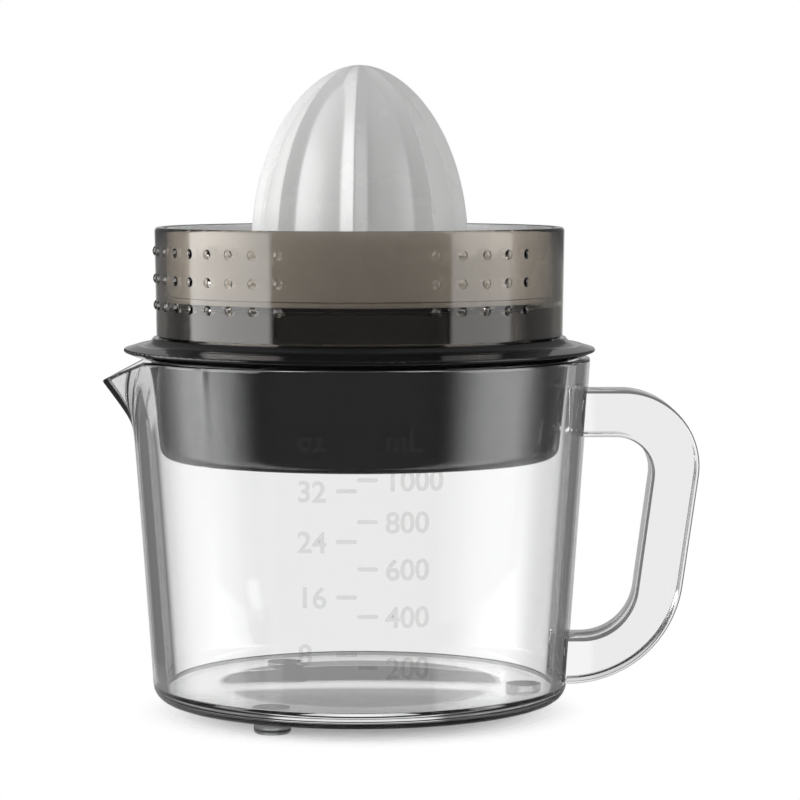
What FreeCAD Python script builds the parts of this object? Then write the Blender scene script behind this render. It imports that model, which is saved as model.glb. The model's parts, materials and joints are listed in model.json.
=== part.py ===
import FreeCAD, Part
import math
import os

# Citrus press juicer: a clear jug, a motor unit that hangs in its mouth, a strainer with a
# twist ring for pulp, and a ribbed cone on the drive shaft. All sizes are in millimetres.
# The pieces are modelled around the jug's own axis, +Z up from the table. -Y is the front
# with the measuring scale, -X the spout and +X the handle.

# Distance from the jug's axis to the middle of the outline, where the part's origin lies
AXIS_X = -13.4

# Jug: a tapered clear wall on three feet, with a beak spout and a loop handle
FOOT_R = 6.0
FOOT_PITCH_R = 55.0
FOOT_COUNT = 3
FOOT_ROUND = 1.2
JUG_BASE_Z = 4.0
JUG_RIM_Z = 118.0
JUG_BASE_R = 68.6
JUG_RIM_R = 76.6
JUG_WALL = 4.8
JUG_FLOOR = 4.6
JUG_BASE_ROUND = 5.5
JUG_INNER_ROUND = 4.0
SPOUT_FOOT_Z = 94.5
SPOUT_TIP_X = -85.6
SPOUT_TIP_Z = 109.9
SPOUT_CUT_X = -69.5
SPOUT_KEEL_SLOPE = 0.76
SPOUT_HALF_ANGLE = 53.0
SPOUT_FOOT_DEPTH = 2.0
SPOUT_RIM_DEPTH = 26.0
SPOUT_WALL_X = 5.2
SPOUT_KEEL_ROUND = 2.5
HANDLE_WIDTH = 22.0
HANDLE_TOP_Z = 107.2
HANDLE_TOP_UNDER_Z = 92.0
HANDLE_LOW_Z = 9.8
HANDLE_LOW_TOP_Z = 25.0
HANDLE_OUT_X = 116.2
HANDLE_OUT_LOW_X = 102.4
HANDLE_IN_X = 98.6
HANDLE_IN_LOW_X = 89.6
HANDLE_ROOT_X = 62.0
HANDLE_ROUNDS = {"out_top": 25.0, "in_top": 12.0, "out_low": 38.0, "in_low": 18.0}
HANDLE_EDGE_ROUND = 1.2

# Motor housing: an upper deck with lip, gutter and hub, and a lower cup inside the jug
LIP_R = 78.2
LIP_Z = 118.2
LIP_TOP_Z = 122.4
LIP_SEAT_R = 70.5
LIP_UNDER_R = 73.2
LIP_BULGE_Z = 120.6
LIP_EDGE_R = 77.8
LIP_EDGE_Z = (120.0, 121.2)
LIP_FLAT_R = 73.7
COVE_R = 70.2
COVE_Z = 123.0
NECK_R = 68.5
SHOULDER_Z = 124.7
CUP_TOP_Z = 117.5
CUP_TOP_R = 69.5
CUP_LOW_Z = 85.0
CUP_LOW_R = 66.0
CUP_WALL = 2.4
CUP_ROUND = 4.5
DECK_Z = 127.5
DECK_WALL = 2.5
SPIGOT_R = 64.0
SPIGOT_WALL = 2.4
SPIGOT_TOP_Z = 135.3
HUB_R = 36.5
HUB_STEP_Z = 141.0
HUB_TOP_R = 26.5
HUB_TOP_Z = 147.0
HUB_WALL = 2.5
HUB_TUBE_R = 11.0
HUB_TUBE_LOW_Z = 131.0
EDGE_BREAK = 0.8
KEY_COUNT = 3
KEY_WIDTH = 6.0
KEY_R = 39.9
KEY_TOP_Z = 140.0
DRAIN_Y = 52.0
POST_SPOTS = ((50.0, 0.0), (5.0, 43.5), (-38.0, 38.0), (5.0, -50.0))
POST_R = 5.4
BOSS_R = 4.5
SCREW_R = 1.7
SCREW_CLEAR_R = 2.2
SCREW_HEAD_R = 3.5
SCREW_HEAD_Z = 94.5
SCREW_SEAT_Z = 97.0
SCREW_TOP_Z = 121.5
SCREW_WELL_R = 3.9
SCREW_SLOT = 1.0
SCREW_SLOT_SHARE = 0.6
GLAND_ANGLE = -45.0
GLAND_Z = 121.6
GLAND_R = 3.0
GLAND_HEAD_R = 4.8
GLAND_BORE_R = 2.3
GLAND_IN_Y = 62.5
GLAND_HEAD_Y = 76.4
GLAND_OUT_Y = 77.8
BLOCK_WIDTH = 15.0
BLOCK_IN_Y = 69.4
BLOCK_OUT_Y = 76.4
BLOCK_TOP_Z = 127.4
BLOCK_ROUND = 3.0

# Drive: shaft, bushes, seal, spring and switch on the juicer's axis
RUNNING_GAP = 0.06
SHAFT_R = 4.0
SHAFT_LOW_Z = 104.5
SHAFT_HEX_Z = 149.0
SHAFT_TOP_Z = 167.0
SHAFT_HEX_FLATS = 6.8
HEX_GAP = 0.12
BUSH_R = 6.0
BUSH_LOW_Z = 132.0
SEAL_LOW_Z = 143.5
SEAL_TOP_Z = 146.8
SEAL_R = 8.5
PLATE_LOW_Z = 107.5
PLATE_TOP_Z = 109.0
PLATE_R = 58.0
PLATE_GAP = 0.6
LOW_BUSH_R = 6.5
LOW_BUSH_TOP_Z = 110.0
PAD_R = 5.2
PAD_LOW_Z = 103.4
PAD_TOP_Z = 106.9
PAD_FLOOR_Z = 104.4
BUTTON_R = 1.8
BUTTON_LOW_Z = 97.2
SWITCH_X = (-6.0, 21.0)
SWITCH_HALF_Y = 5.2
SWITCH_LOW_Z = 90.4
SWITCH_TOP_Z = 99.6
SWITCH_WELL_Z = 94.6
CLIP_LOW_Z = 119.0
CLIP_TOP_Z = 119.8
CLIP_R = 6.6
CLIP_GAP = 4.0
SPRING_R = 8.6
SPRING_WIRE_R = 0.6
SPRING_LOW_Z = 109.05
SPRING_TOP_Z = 119.7
SPRING_TURNS = 5

# Gear train: each stage is (module, pinion teeth, wheel teeth), motor first
STAGES = ((0.6, 12, 48), (0.8, 12, 45), (1.0, 12, 45))
PRESSURE_ANGLE = math.radians(20.0)
PINION_SHIFT = 0.3
BACKLASH = 0.16
TIP_CLEARANCE = 0.3
MOTOR_SPOT = (-33.0, -20.0)
SECOND_AXLE_ANGLE = 150.0
AXLE_R = 1.5
ROTOR_PINION_Z = (109.9, 113.4)
FIRST_WHEEL_Z = (110.2, 113.0)
FIRST_PINION_Z = (113.0, 117.4)
SECOND_WHEEL_Z = (113.8, 116.6)
SECOND_PINION_Z = (116.6, 124.3)
OUTPUT_GEAR_Z = (119.8, 123.8)
FIRST_AXLE_TOP_Z = 118.6
SECOND_AXLE_TOP_Z = 124.8

# Motor: a two-pole magnet rotor between the arms of a U-shaped laminated core
ROTOR_R = 8.0
ROTOR_Z = (90.6, 104.4)
ROTOR_SHAFT_LOW_Z = 88.8
ROTOR_BUSH_R = 4.0
ROTOR_BUSH_LOW_Z = 88.0
ROTOR_BUSH_TOP_Z = 89.9
ROTOR_CUP_R = 5.6
POLE_GAP = 0.6
POLE_SLIT = 3.0
CORE_Z = (91.5, 103.5)
CORE_INNER_X = 9.0
CORE_OUTER_X = 16.0
CORE_FRONT_Y = -10.0
CORE_BACK_Y = 44.0
YOKE_DEPTH = 8.0
POLE_WAIST_Y = 10.0
BOBBIN_Y = (12.5, 34.5)
BOBBIN_WALL = 0.7
BOBBIN_FLANGE = 1.0
COIL_BUILD = 2.5
BOBBIN_RIM = 0.4
CORE_BOLT_R = 1.6
CORE_BOLT_X = 12.5
CORE_BOLT_Y = 40.0
CORE_BOLT_HEAD_R = 3.0
CORE_BOLT_HEAD = 2.0
SPACER_R = 3.0

# Strainer, pulp shutter and the smoked twist ring
STRAINER_R = 64.0
STRAINER_WALL = 1.8
STRAINER_TOP_Z = 161.0
STRAINER_RIM_ROUND = 0.8
STRAINER_FLOOR_Z = (138.9, 140.7)
COLLAR_BORE_R = 38.5
COLLAR_R = 40.5
COLLAR_LOW_Z = 136.0
COLLAR_TOP_Z = 147.0
COLLAR_BEAD_R = 41.5
COLLAR_BEAD = 0.8
KEYWAY_SPARE = 0.8
SLOT_GROUPS = 8
SLOT_STEP = 5.0
SLOT_OFFSETS = (-1.5, -0.5, 0.5, 1.5)
SLOT_WIDTH = 1.8
SLOT_IN_R = 43.5
SLOT_OUT_R = 59.5
SHUTTER_Z = (137.1, 138.6)
SHUTTER_BORE_R = 40.9
SHUTTER_R = 63.6
WINDOW_ANGLE = 21.0
WINDOW_IN_R = 42.8
WINDOW_OUT_R = 60.4
RING_LOW_Z = 125.0
RING_TOP_Z = 161.2
RING_LOW_R = 67.4
RING_TOP_R = 67.9
RING_BORE_R = 65.0
RING_LEDGE_Z = (135.6, 137.1)
RING_LEDGE_R = 61.0
RING_RIM_ROUND = 0.9
BUMP_R = 1.65
BUMP_HEIGHT = 0.8
BUMP_ROWS_Z = (135.6, 144.4, 153.4)
BUMP_START = 21.6
BUMP_STEP = 7.8
BUMPS_BESIDE_HANDLE = 5
BUMPS_BESIDE_SPOUT = 18

# Reamer cone: eight roof-shaped ribs over an egg-shaped core. A rib's slope is its fall per length sideways,
# its reach is how far its sides go, and the turn is that of the first rib from +X, in degrees
CONE_R = 36.0
CONE_HEIGHT = 59.6
CONE_MIDDLE_Z = 155.0
CONE_LOW_Z = 143.5
CONE_RIBS = 8
CONE_TURN = -2.5
RIB_SLOPE = 0.9
RIB_REACH = 14.0
CONE_CORE_R = 32.5
CONE_CORE_HEIGHT = 57.3
CONE_SKIRT_R = 37.2
CONE_SKIRT_TOP_Z = 146.0
CONE_BORE_R = 28.2
CONE_BORE_HEIGHT = 49.0
SOCKET_R = 7.5
SOCKET_LOW_Z = 149.6
SOCKET_TOP_Z = 167.4

UP = FreeCAD.Vector(0, 0, 1)
ORIGIN = FreeCAD.Vector(0, 0, 0)
# Tolerance of edge tests, depth to which joined forms overlap, and how far a cutter reaches past
TINY = 0.001
OVERLAP = 1.0
MARGIN = 10.0
OVERSIZE = 200.0


def section_point(pair):
    """Point of the half-section plane from (radius, height)."""
    return FreeCAD.Vector(pair[0], 0, pair[1])


def outline(points):
    """Closed wire in the XZ plane; an item that holds two pairs is an arc's middle and end."""
    edges = []
    here = section_point(points[0])
    for item in points[1:] + points[:1]:
        if isinstance(item[0], tuple):
            end = section_point(item[1])
            edges.append(Part.Arc(here, section_point(item[0]), end).toShape())
        else:
            end = section_point(item)
            edges.append(Part.makeLine(here, end))
        here = end
    return Part.Wire(edges)


def lathe(points):
    """Solid of revolution about the juicer's axis."""
    return Part.Face(outline(points)).revolve(ORIGIN, UP, 360)


def rod(radius, z0, z1, spot=(0.0, 0.0)):
    """Upright cylinder at a spot of the plan."""
    return Part.makeCylinder(radius, z1 - z0, FreeCAD.Vector(spot[0], spot[1], z0), UP)


def tube(radius, bore, z0, z1, spot=(0.0, 0.0)):
    """Upright tube at a spot of the plan."""
    return rod(radius, z0, z1, spot).cut(rod(bore, z0, z1, spot))


def block(x_range, y_range, z_range):
    """Box from its ranges along X, Y and Z."""
    size = [high - low for low, high in (x_range, y_range, z_range)]
    corner = FreeCAD.Vector(x_range[0], y_range[0], z_range[0])
    return Part.makeBox(size[0], size[1], size[2], corner)


def turned(shape, angle, spot=(0.0, 0.0)):
    """Copy of a shape turned about an upright axis, in degrees."""
    copy = shape.copy()
    copy.rotate(FreeCAD.Vector(spot[0], spot[1], 0), UP, angle)
    return copy


def around(shape, count, start=0.0):
    """Copies of a shape spread evenly about the juicer's axis."""
    return [turned(shape, start + 360.0 * i / count) for i in range(count)]


def rounded(shape, radius, chosen):
    """Fillet of the edges that a test picks."""
    return shape.makeFillet(radius, [edge for edge in shape.Edges if chosen(edge)])


def ring_at(z, radius_over=0.0):
    """Test for a round edge at one height, further out than a radius."""
    def chosen(edge):
        box = edge.BoundBox
        flat = box.ZLength < TINY and abs(box.ZMin - z) < TINY
        return flat and box.XLength > 2 * radius_over
    return chosen


def jug_radius(z):
    """Outer radius of the jug's wall at a height."""
    share = (z - JUG_BASE_Z) / (JUG_RIM_Z - JUG_BASE_Z)
    return JUG_BASE_R + share * (JUG_RIM_R - JUG_BASE_R)


def jug_outside():
    """Tapered body of the jug, without its hollow."""
    body = lathe([(0.0, JUG_BASE_Z), (JUG_BASE_R, JUG_BASE_Z), (JUG_RIM_R, JUG_RIM_Z), (0.0, JUG_RIM_Z)])
    return rounded(body, JUG_BASE_ROUND, ring_at(JUG_BASE_Z))


def jug_hollow():
    """Space inside the jug, open upwards."""
    floor_z = JUG_BASE_Z + JUG_FLOOR
    mouth_z = JUG_RIM_Z + MARGIN
    points = [(0.0, floor_z), (jug_radius(floor_z) - JUG_WALL, floor_z)]
    points += [(jug_radius(mouth_z) - JUG_WALL, mouth_z), (0.0, mouth_z)]
    return rounded(lathe(points), JUG_INNER_ROUND, ring_at(floor_z))


def spout_wedge():
    """Beak of the spout as a solid wedge that widens upwards from a point on the wall."""
    slant = math.tan(math.radians(SPOUT_HALF_ANGLE))
    wires = []
    for z, depth in ((SPOUT_FOOT_Z, SPOUT_FOOT_DEPTH), (JUG_RIM_Z, SPOUT_RIM_DEPTH)):
        keel_x = SPOUT_TIP_X - SPOUT_KEEL_SLOPE * (z - SPOUT_TIP_Z)
        half = depth * slant
        corners = [(keel_x, 0.0), (keel_x + depth, half), (keel_x + depth, -half), (keel_x, 0.0)]
        wires.append(Part.makePolygon([FreeCAD.Vector(x, y, z) for x, y in corners]))
    wedge = Part.makeLoft(wires, True, True)

    def keel(edge):
        box = edge.BoundBox
        return box.YLength < TINY and box.ZLength > TINY
    return rounded(wedge, SPOUT_KEEL_ROUND, keel)


def spout_slope():
    """Space above the spout's sloping lip."""
    far_x = SPOUT_TIP_X - MARGIN
    drop = (JUG_RIM_Z - SPOUT_TIP_Z) / (SPOUT_CUT_X - SPOUT_TIP_X)
    far_z = JUG_RIM_Z - drop * (SPOUT_CUT_X - far_x)
    top_z = JUG_RIM_Z + MARGIN
    corners = [(SPOUT_CUT_X, JUG_RIM_Z), (SPOUT_CUT_X, top_z), (far_x, top_z), (far_x, far_z)]
    side = Part.Face(outline(corners))
    side.translate(FreeCAD.Vector(0, -OVERSIZE, 0))
    return side.extrude(FreeCAD.Vector(0, 2 * OVERSIZE, 0))


def jug():
    """Clear jug: tapered wall, floor and beak spout."""
    wedge = spout_wedge()
    channel = wedge.translated(FreeCAD.Vector(SPOUT_WALL_X, 0, 0))
    body = jug_outside().fuse(wedge).cut(spout_slope())
    return body.cut(jug_hollow().fuse(channel)).removeSplitter()


def handle():
    """Clear loop handle, flat-sided, from its two roots on the wall."""
    corners = [
        (HANDLE_ROOT_X, HANDLE_TOP_Z), (HANDLE_OUT_X, HANDLE_TOP_Z),
        (HANDLE_OUT_LOW_X, HANDLE_LOW_Z), (HANDLE_ROOT_X, HANDLE_LOW_Z),
        (HANDLE_ROOT_X, HANDLE_LOW_TOP_Z), (HANDLE_IN_LOW_X, HANDLE_LOW_TOP_Z),
        (HANDLE_IN_X, HANDLE_TOP_UNDER_Z), (HANDLE_ROOT_X, HANDLE_TOP_UNDER_Z),
    ]
    face = Part.Face(outline(corners))
    face.translate(FreeCAD.Vector(0, -HANDLE_WIDTH / 2, 0))
    loop = face.extrude(FreeCAD.Vector(0, HANDLE_WIDTH, 0))
    bends = {
        "out_top": (HANDLE_OUT_X, HANDLE_TOP_Z), "out_low": (HANDLE_OUT_LOW_X, HANDLE_LOW_Z),
        "in_top": (HANDLE_IN_X, HANDLE_TOP_UNDER_Z), "in_low": (HANDLE_IN_LOW_X, HANDLE_LOW_TOP_Z),
    }
    for name, spot in bends.items():
        loop = rounded(loop, HANDLE_ROUNDS[name], lambda edge: is_cross_edge(edge, spot))

    def long_edge(edge):
        box = edge.BoundBox
        return box.YLength < TINY and box.XMax > HANDLE_ROOT_X + TINY
    loop = rounded(loop, HANDLE_EDGE_ROUND, long_edge)
    return loop.cut(jug_outside())


def is_cross_edge(edge, spot):
    """Whether an edge runs along Y through a spot of the XZ plane."""
    box = edge.BoundBox
    return box.YLength > TINY and abs(box.XMin - spot[0]) + abs(box.ZMin - spot[1]) < TINY


def jug_feet():
    """Three round feet under the jug's floor."""
    foot = rounded(rod(FOOT_R, 0.0, JUG_BASE_Z, (FOOT_PITCH_R, 0.0)), FOOT_ROUND, ring_at(0.0))
    return Part.makeCompound(around(foot, FOOT_COUNT))


def before_drain(shape, wall=0.0):
    """Part of a shape in front of the flat back, behind which the juice runs down."""
    half = (-OVERSIZE, OVERSIZE)
    return shape.common(block(half, (-OVERSIZE, DRAIN_Y - wall), half))


def lip_ring():
    """Lip that rests on the jug's rim, with the neck above it and the block for the cord gland."""
    spigot_in = SPIGOT_R - SPIGOT_WALL
    points = [
        (spigot_in, CUP_TOP_Z), (LIP_SEAT_R, CUP_TOP_Z), (LIP_SEAT_R, LIP_Z), (LIP_UNDER_R, LIP_Z),
        (LIP_EDGE_R, LIP_EDGE_Z[0]), ((LIP_R, LIP_BULGE_Z), (LIP_EDGE_R, LIP_EDGE_Z[1])),
        (LIP_FLAT_R, LIP_TOP_Z),
        ((COVE_R, COVE_Z), (NECK_R, SHOULDER_Z)), (spigot_in, SHOULDER_Z),
    ]
    body = lathe(points).fuse(gland_block())
    return body.cut(gland_passage()).removeSplitter()


def spigot_ring():
    """Upright ring on the neck over which strainer and twist ring fit."""
    spigot_in = SPIGOT_R - SPIGOT_WALL
    return lathe([
        (spigot_in, SHOULDER_Z), (SPIGOT_R, SHOULDER_Z), (SPIGOT_R, SPIGOT_TOP_Z - EDGE_BREAK),
        (SPIGOT_R - EDGE_BREAK, SPIGOT_TOP_Z), (spigot_in, SPIGOT_TOP_Z),
    ])


def gland_passage():
    """Space for the cord gland, outwards through the neck at the back."""
    start = FreeCAD.Vector(0, SPIGOT_R - SPIGOT_WALL - CUP_WALL - OVERLAP, GLAND_Z)
    hole = Part.makeCylinder(GLAND_R, LIP_R - start.y + MARGIN, start, FreeCAD.Vector(0, 1, 0))
    return turned(hole, GLAND_ANGLE)


def gland_block():
    """Raised block on the lip that holds the cord gland."""
    half = BLOCK_WIDTH / 2
    body = block((-half, half), (BLOCK_IN_Y, BLOCK_OUT_Y), (LIP_Z, BLOCK_TOP_Z))

    def top_side(edge):
        box = edge.BoundBox
        return box.ZMin > BLOCK_TOP_Z - TINY and box.YLength > TINY
    return turned(rounded(body, BLOCK_ROUND, top_side), GLAND_ANGLE)


def upper_housing():
    """Deck of the motor housing: a tray, upside down, with a flat back and screw bosses."""
    outer_r = SPIGOT_R - SPIGOT_WALL
    ceiling = DECK_Z - DECK_WALL
    outside = before_drain(rod(outer_r, CUP_TOP_Z, DECK_Z))
    hollow = before_drain(rod(outer_r - CUP_WALL, CUP_TOP_Z, ceiling), CUP_WALL)
    bosses = [rod(BOSS_R, PLATE_TOP_Z, ceiling + OVERLAP, spot) for spot in POST_SPOTS]
    body = outside.cut(hollow).fuse(bosses)
    holes = [rod(SCREW_R, PLATE_TOP_Z, SCREW_TOP_Z, spot) for spot in POST_SPOTS]
    return body.cut(holes + [rod(HUB_R, ceiling, DECK_Z), gland_passage()]).removeSplitter()


def hub():
    """Stepped tower on the deck with the shaft's upper bearing seat and keys for the strainer."""
    ceiling = DECK_Z - DECK_WALL
    points = [
        (HUB_R, ceiling), (HUB_R, HUB_STEP_Z - EDGE_BREAK), (HUB_R - EDGE_BREAK, HUB_STEP_Z),
        (HUB_TOP_R, HUB_STEP_Z), (HUB_TOP_R, HUB_TOP_Z - EDGE_BREAK), (HUB_TOP_R - EDGE_BREAK, HUB_TOP_Z),
        (SEAL_R, HUB_TOP_Z), (SEAL_R, SEAL_LOW_Z), (BUSH_R, SEAL_LOW_Z), (BUSH_R, HUB_TUBE_LOW_Z),
        (HUB_TUBE_R, HUB_TUBE_LOW_Z), (HUB_TUBE_R, HUB_TOP_Z - HUB_WALL),
        (HUB_TOP_R - HUB_WALL, HUB_TOP_Z - HUB_WALL), (HUB_TOP_R - HUB_WALL, HUB_STEP_Z - HUB_WALL),
        (HUB_R - HUB_WALL, HUB_STEP_Z - HUB_WALL), (HUB_R - HUB_WALL, ceiling),
    ]
    half = KEY_WIDTH / 2
    key = block((HUB_R - OVERLAP, KEY_R), (-half, half), (DECK_Z, KEY_TOP_Z))
    return lathe(points).fuse(around(key, KEY_COUNT)).removeSplitter()


def lower_housing():
    """Lower motor housing: a cup with a flat back, screw posts and seats for motor and switch."""
    outside = lathe([(0.0, CUP_LOW_Z), (CUP_LOW_R, CUP_LOW_Z), (CUP_TOP_R, CUP_TOP_Z), (0.0, CUP_TOP_Z)])
    outside = before_drain(rounded(outside, CUP_ROUND, ring_at(CUP_LOW_Z)))
    floor_z = CUP_LOW_Z + CUP_WALL
    hollow = lathe([(0.0, floor_z), (CUP_LOW_R - CUP_WALL, floor_z),
                    (CUP_TOP_R - CUP_WALL, CUP_TOP_Z), (0.0, CUP_TOP_Z)])
    hollow = before_drain(rounded(hollow, CUP_ROUND - CUP_WALL, ring_at(floor_z)), CUP_WALL)
    posts = [rod(POST_R, CUP_LOW_Z, PLATE_LOW_Z, spot) for spot in POST_SPOTS]
    posts.append(rod(ROTOR_CUP_R, CUP_LOW_Z, ROTOR_BUSH_TOP_Z, MOTOR_SPOT))
    seat_y = (-SWITCH_HALF_Y, SWITCH_HALF_Y)
    posts.append(block(SWITCH_X, seat_y, (CUP_LOW_Z + OVERLAP, SWITCH_LOW_Z)))
    body = outside.cut(hollow).fuse(posts)
    holes = [rod(SCREW_CLEAR_R, CUP_LOW_Z, PLATE_LOW_Z, spot) for spot in POST_SPOTS]
    holes += [rod(SCREW_WELL_R, CUP_LOW_Z, SCREW_SEAT_Z, spot) for spot in POST_SPOTS]
    holes.append(rod(ROTOR_BUSH_R, ROTOR_BUSH_LOW_Z, ROTOR_BUSH_TOP_Z, MOTOR_SPOT))
    return body.cut(holes).removeSplitter()


def cross_slot(spot, radius, z):
    """Cross recess of a screw head that faces down."""
    half = SCREW_SLOT / 2
    reach = radius * SCREW_SLOT_SHARE
    bar = block((-reach, reach), (-half, half), (z, z + SCREW_SLOT))
    cross = bar.fuse(turned(bar, 90.0))
    return cross.translated(FreeCAD.Vector(spot[0], spot[1], 0))


def housing_screws():
    """Four long screws from below that clamp cup, gear plate and deck together."""
    screws = []
    for spot in POST_SPOTS:
        head = rod(SCREW_HEAD_R, SCREW_HEAD_Z, SCREW_SEAT_Z, spot)
        screw = head.fuse(rod(SCREW_R, SCREW_SEAT_Z, SCREW_TOP_Z, spot))
        screws.append(screw.cut(cross_slot(spot, SCREW_HEAD_R, SCREW_HEAD_Z)))
    return Part.makeCompound(screws)


def cord_gland():
    """Rubber bush with a collar where the mains lead would pass through the neck."""
    back = FreeCAD.Vector(0, 1, 0)
    start = FreeCAD.Vector(0, GLAND_IN_Y, GLAND_Z)
    collar_start = FreeCAD.Vector(0, GLAND_HEAD_Y, GLAND_Z)
    body = Part.makeCylinder(GLAND_R, GLAND_OUT_Y - GLAND_IN_Y, start, back)
    collar = Part.makeCylinder(GLAND_HEAD_R, GLAND_OUT_Y - GLAND_HEAD_Y, collar_start, back)
    lip_edge = block((-GLAND_HEAD_R, GLAND_HEAD_R), (GLAND_HEAD_Y, GLAND_OUT_Y), (0.0, LIP_TOP_Z))
    bore = Part.makeCylinder(GLAND_BORE_R, GLAND_OUT_Y - GLAND_IN_Y, start, back)
    return turned(body.fuse(collar.cut(lip_edge)).cut(bore), GLAND_ANGLE)


def stage_distance(stage):
    """Centre distance of a gear stage."""
    module, pinion, wheel = STAGES[stage]
    return module * (pinion + wheel) / 2


def second_axle_spot():
    """Plan place of the axle next to the output gear."""
    angle = math.radians(SECOND_AXLE_ANGLE)
    reach = stage_distance(2)
    return (reach * math.cos(angle), reach * math.sin(angle))


def first_axle_spot():
    """Plan place of the axle that meshes with both the motor pinion and the second wheel."""
    reach_motor = stage_distance(0)
    reach_second = stage_distance(1)
    second = second_axle_spot()
    gap = (second[0] - MOTOR_SPOT[0], second[1] - MOTOR_SPOT[1])
    length = math.hypot(gap[0], gap[1])
    along = (reach_motor ** 2 - reach_second ** 2 + length ** 2) / (2 * length)
    aside = math.sqrt(reach_motor ** 2 - along ** 2)
    unit = (gap[0] / length, gap[1] / length)
    return (MOTOR_SPOT[0] + along * unit[0] - aside * unit[1],
            MOTOR_SPOT[1] + along * unit[1] + aside * unit[0])


def involute(angle):
    """Involute function of a pressure angle."""
    return math.tan(angle) - angle


def spur_gear(module, teeth, shift, z_range, spot, phase):
    """Spur gear whose flanks are arcs through three points of the involute."""
    pitch_r = module * teeth / 2
    base_r = pitch_r * math.cos(PRESSURE_ANGLE)
    tip_r = pitch_r + module * (1.0 + shift)
    root_r = pitch_r - module * (1.0 + TIP_CLEARANCE - shift)
    half = (math.pi / 2 + 2 * shift * math.tan(PRESSURE_ANGLE)) / teeth - BACKLASH / (2 * pitch_r)
    start_r = max(base_r, root_r)

    def polar(radius, angle):
        x = spot[0] + radius * math.cos(angle)
        y = spot[1] + radius * math.sin(angle)
        return FreeCAD.Vector(x, y, z_range[0])

    def flank(radius):
        return half + involute(PRESSURE_ANGLE) - involute(math.acos(min(1.0, base_r / radius)))

    middle_r = (start_r + tip_r) / 2
    pitch = 2 * math.pi / teeth
    edges = []
    for i in range(teeth):
        axis = phase + i * pitch
        rise = [polar(r, axis - flank(r)) for r in (start_r, middle_r, tip_r)]
        fall = [polar(r, axis + flank(r)) for r in (tip_r, middle_r, start_r)]
        root_in = polar(root_r, axis - flank(start_r))
        root_out = polar(root_r, axis + flank(start_r))
        root_next = polar(root_r, axis + pitch - flank(start_r))
        if root_r < start_r - TINY:
            edges.append(Part.makeLine(root_in, rise[0]))
        edges.append(Part.Arc(*rise).toShape())
        edges.append(Part.Arc(rise[2], polar(tip_r, axis), fall[0]).toShape())
        edges.append(Part.Arc(*fall).toShape())
        if root_r < start_r - TINY:
            edges.append(Part.makeLine(fall[2], root_out))
        edges.append(Part.Arc(root_out, polar(root_r, axis + pitch / 2), root_next).toShape())
    face = Part.Face(Part.Wire(edges))
    return face.extrude(FreeCAD.Vector(0, 0, z_range[1] - z_range[0]))


def mesh_phase(stage, pinion_spot, wheel_spot, pinion_phase):
    """Phase of a wheel whose gap meets the pinion's tooth on the line of centres."""
    pinion, wheel = STAGES[stage][1:]
    line = math.atan2(wheel_spot[1] - pinion_spot[1], wheel_spot[0] - pinion_spot[0])
    return line + math.pi - (math.pi - pinion * (line - pinion_phase)) / wheel


def pinion_of(stage, z_range, spot):
    """Pinion of a stage, with a tooth along +X."""
    return spur_gear(STAGES[stage][0], STAGES[stage][1], PINION_SHIFT, z_range, spot, 0.0)


def wheel_of(stage, z_range, pinion_spot, spot):
    """Wheel of a stage, in mesh with its pinion."""
    phase = mesh_phase(stage, pinion_spot, spot, 0.0)
    return spur_gear(STAGES[stage][0], STAGES[stage][2], -PINION_SHIFT, z_range, spot, phase)


def first_gear():
    """Compound gear that the motor pinion drives."""
    spot = first_axle_spot()
    body = wheel_of(0, FIRST_WHEEL_Z, MOTOR_SPOT, spot).fuse(pinion_of(1, FIRST_PINION_Z, spot))
    return body.cut(rod(AXLE_R + RUNNING_GAP, FIRST_WHEEL_Z[0], FIRST_PINION_Z[1], spot))


def second_gear():
    """Compound gear that drives the output gear."""
    spot = second_axle_spot()
    body = wheel_of(1, SECOND_WHEEL_Z, first_axle_spot(), spot).fuse(pinion_of(2, SECOND_PINION_Z, spot))
    return body.cut(rod(AXLE_R + RUNNING_GAP, SECOND_WHEEL_Z[0], SECOND_PINION_Z[1], spot))


def output_gear():
    """Large gear fixed on the drive shaft."""
    body = wheel_of(2, OUTPUT_GEAR_Z, second_axle_spot(), (0.0, 0.0))
    return body.cut(rod(SHAFT_R, OUTPUT_GEAR_Z[0], OUTPUT_GEAR_Z[1]))


def gear_axles():
    """Two fixed steel pins that carry the compound gears."""
    first = rod(AXLE_R, PLATE_LOW_Z, FIRST_AXLE_TOP_Z, first_axle_spot())
    second = rod(AXLE_R, PLATE_LOW_Z, SECOND_AXLE_TOP_Z, second_axle_spot())
    return Part.makeCompound([first, second])


def motor_place(shape):
    """Shape drawn around the rotor's axis, moved to the motor's place."""
    return shape.translated(FreeCAD.Vector(MOTOR_SPOT[0], MOTOR_SPOT[1], 0))


def core_bolt_spots():
    """Two bolt places on the core's yoke."""
    return [(MOTOR_SPOT[0] + side * CORE_BOLT_X, MOTOR_SPOT[1] + CORE_BOLT_Y) for side in (-1, 1)]


def gear_plate():
    """Plate that carries motor, gear axles and the shaft's lower bush."""
    plate = before_drain(rod(PLATE_R, PLATE_LOW_Z, PLATE_TOP_Z), CUP_WALL + PLATE_GAP)
    round_holes = [(SCREW_CLEAR_R, spot) for spot in POST_SPOTS]
    round_holes += [(CORE_BOLT_R, spot) for spot in core_bolt_spots()]
    round_holes += [(AXLE_R, first_axle_spot()), (AXLE_R, second_axle_spot())]
    round_holes += [(ROTOR_BUSH_R, MOTOR_SPOT), (LOW_BUSH_R, (0.0, 0.0))]
    return plate.cut([rod(radius, PLATE_LOW_Z, PLATE_TOP_Z, spot) for radius, spot in round_holes])


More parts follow.
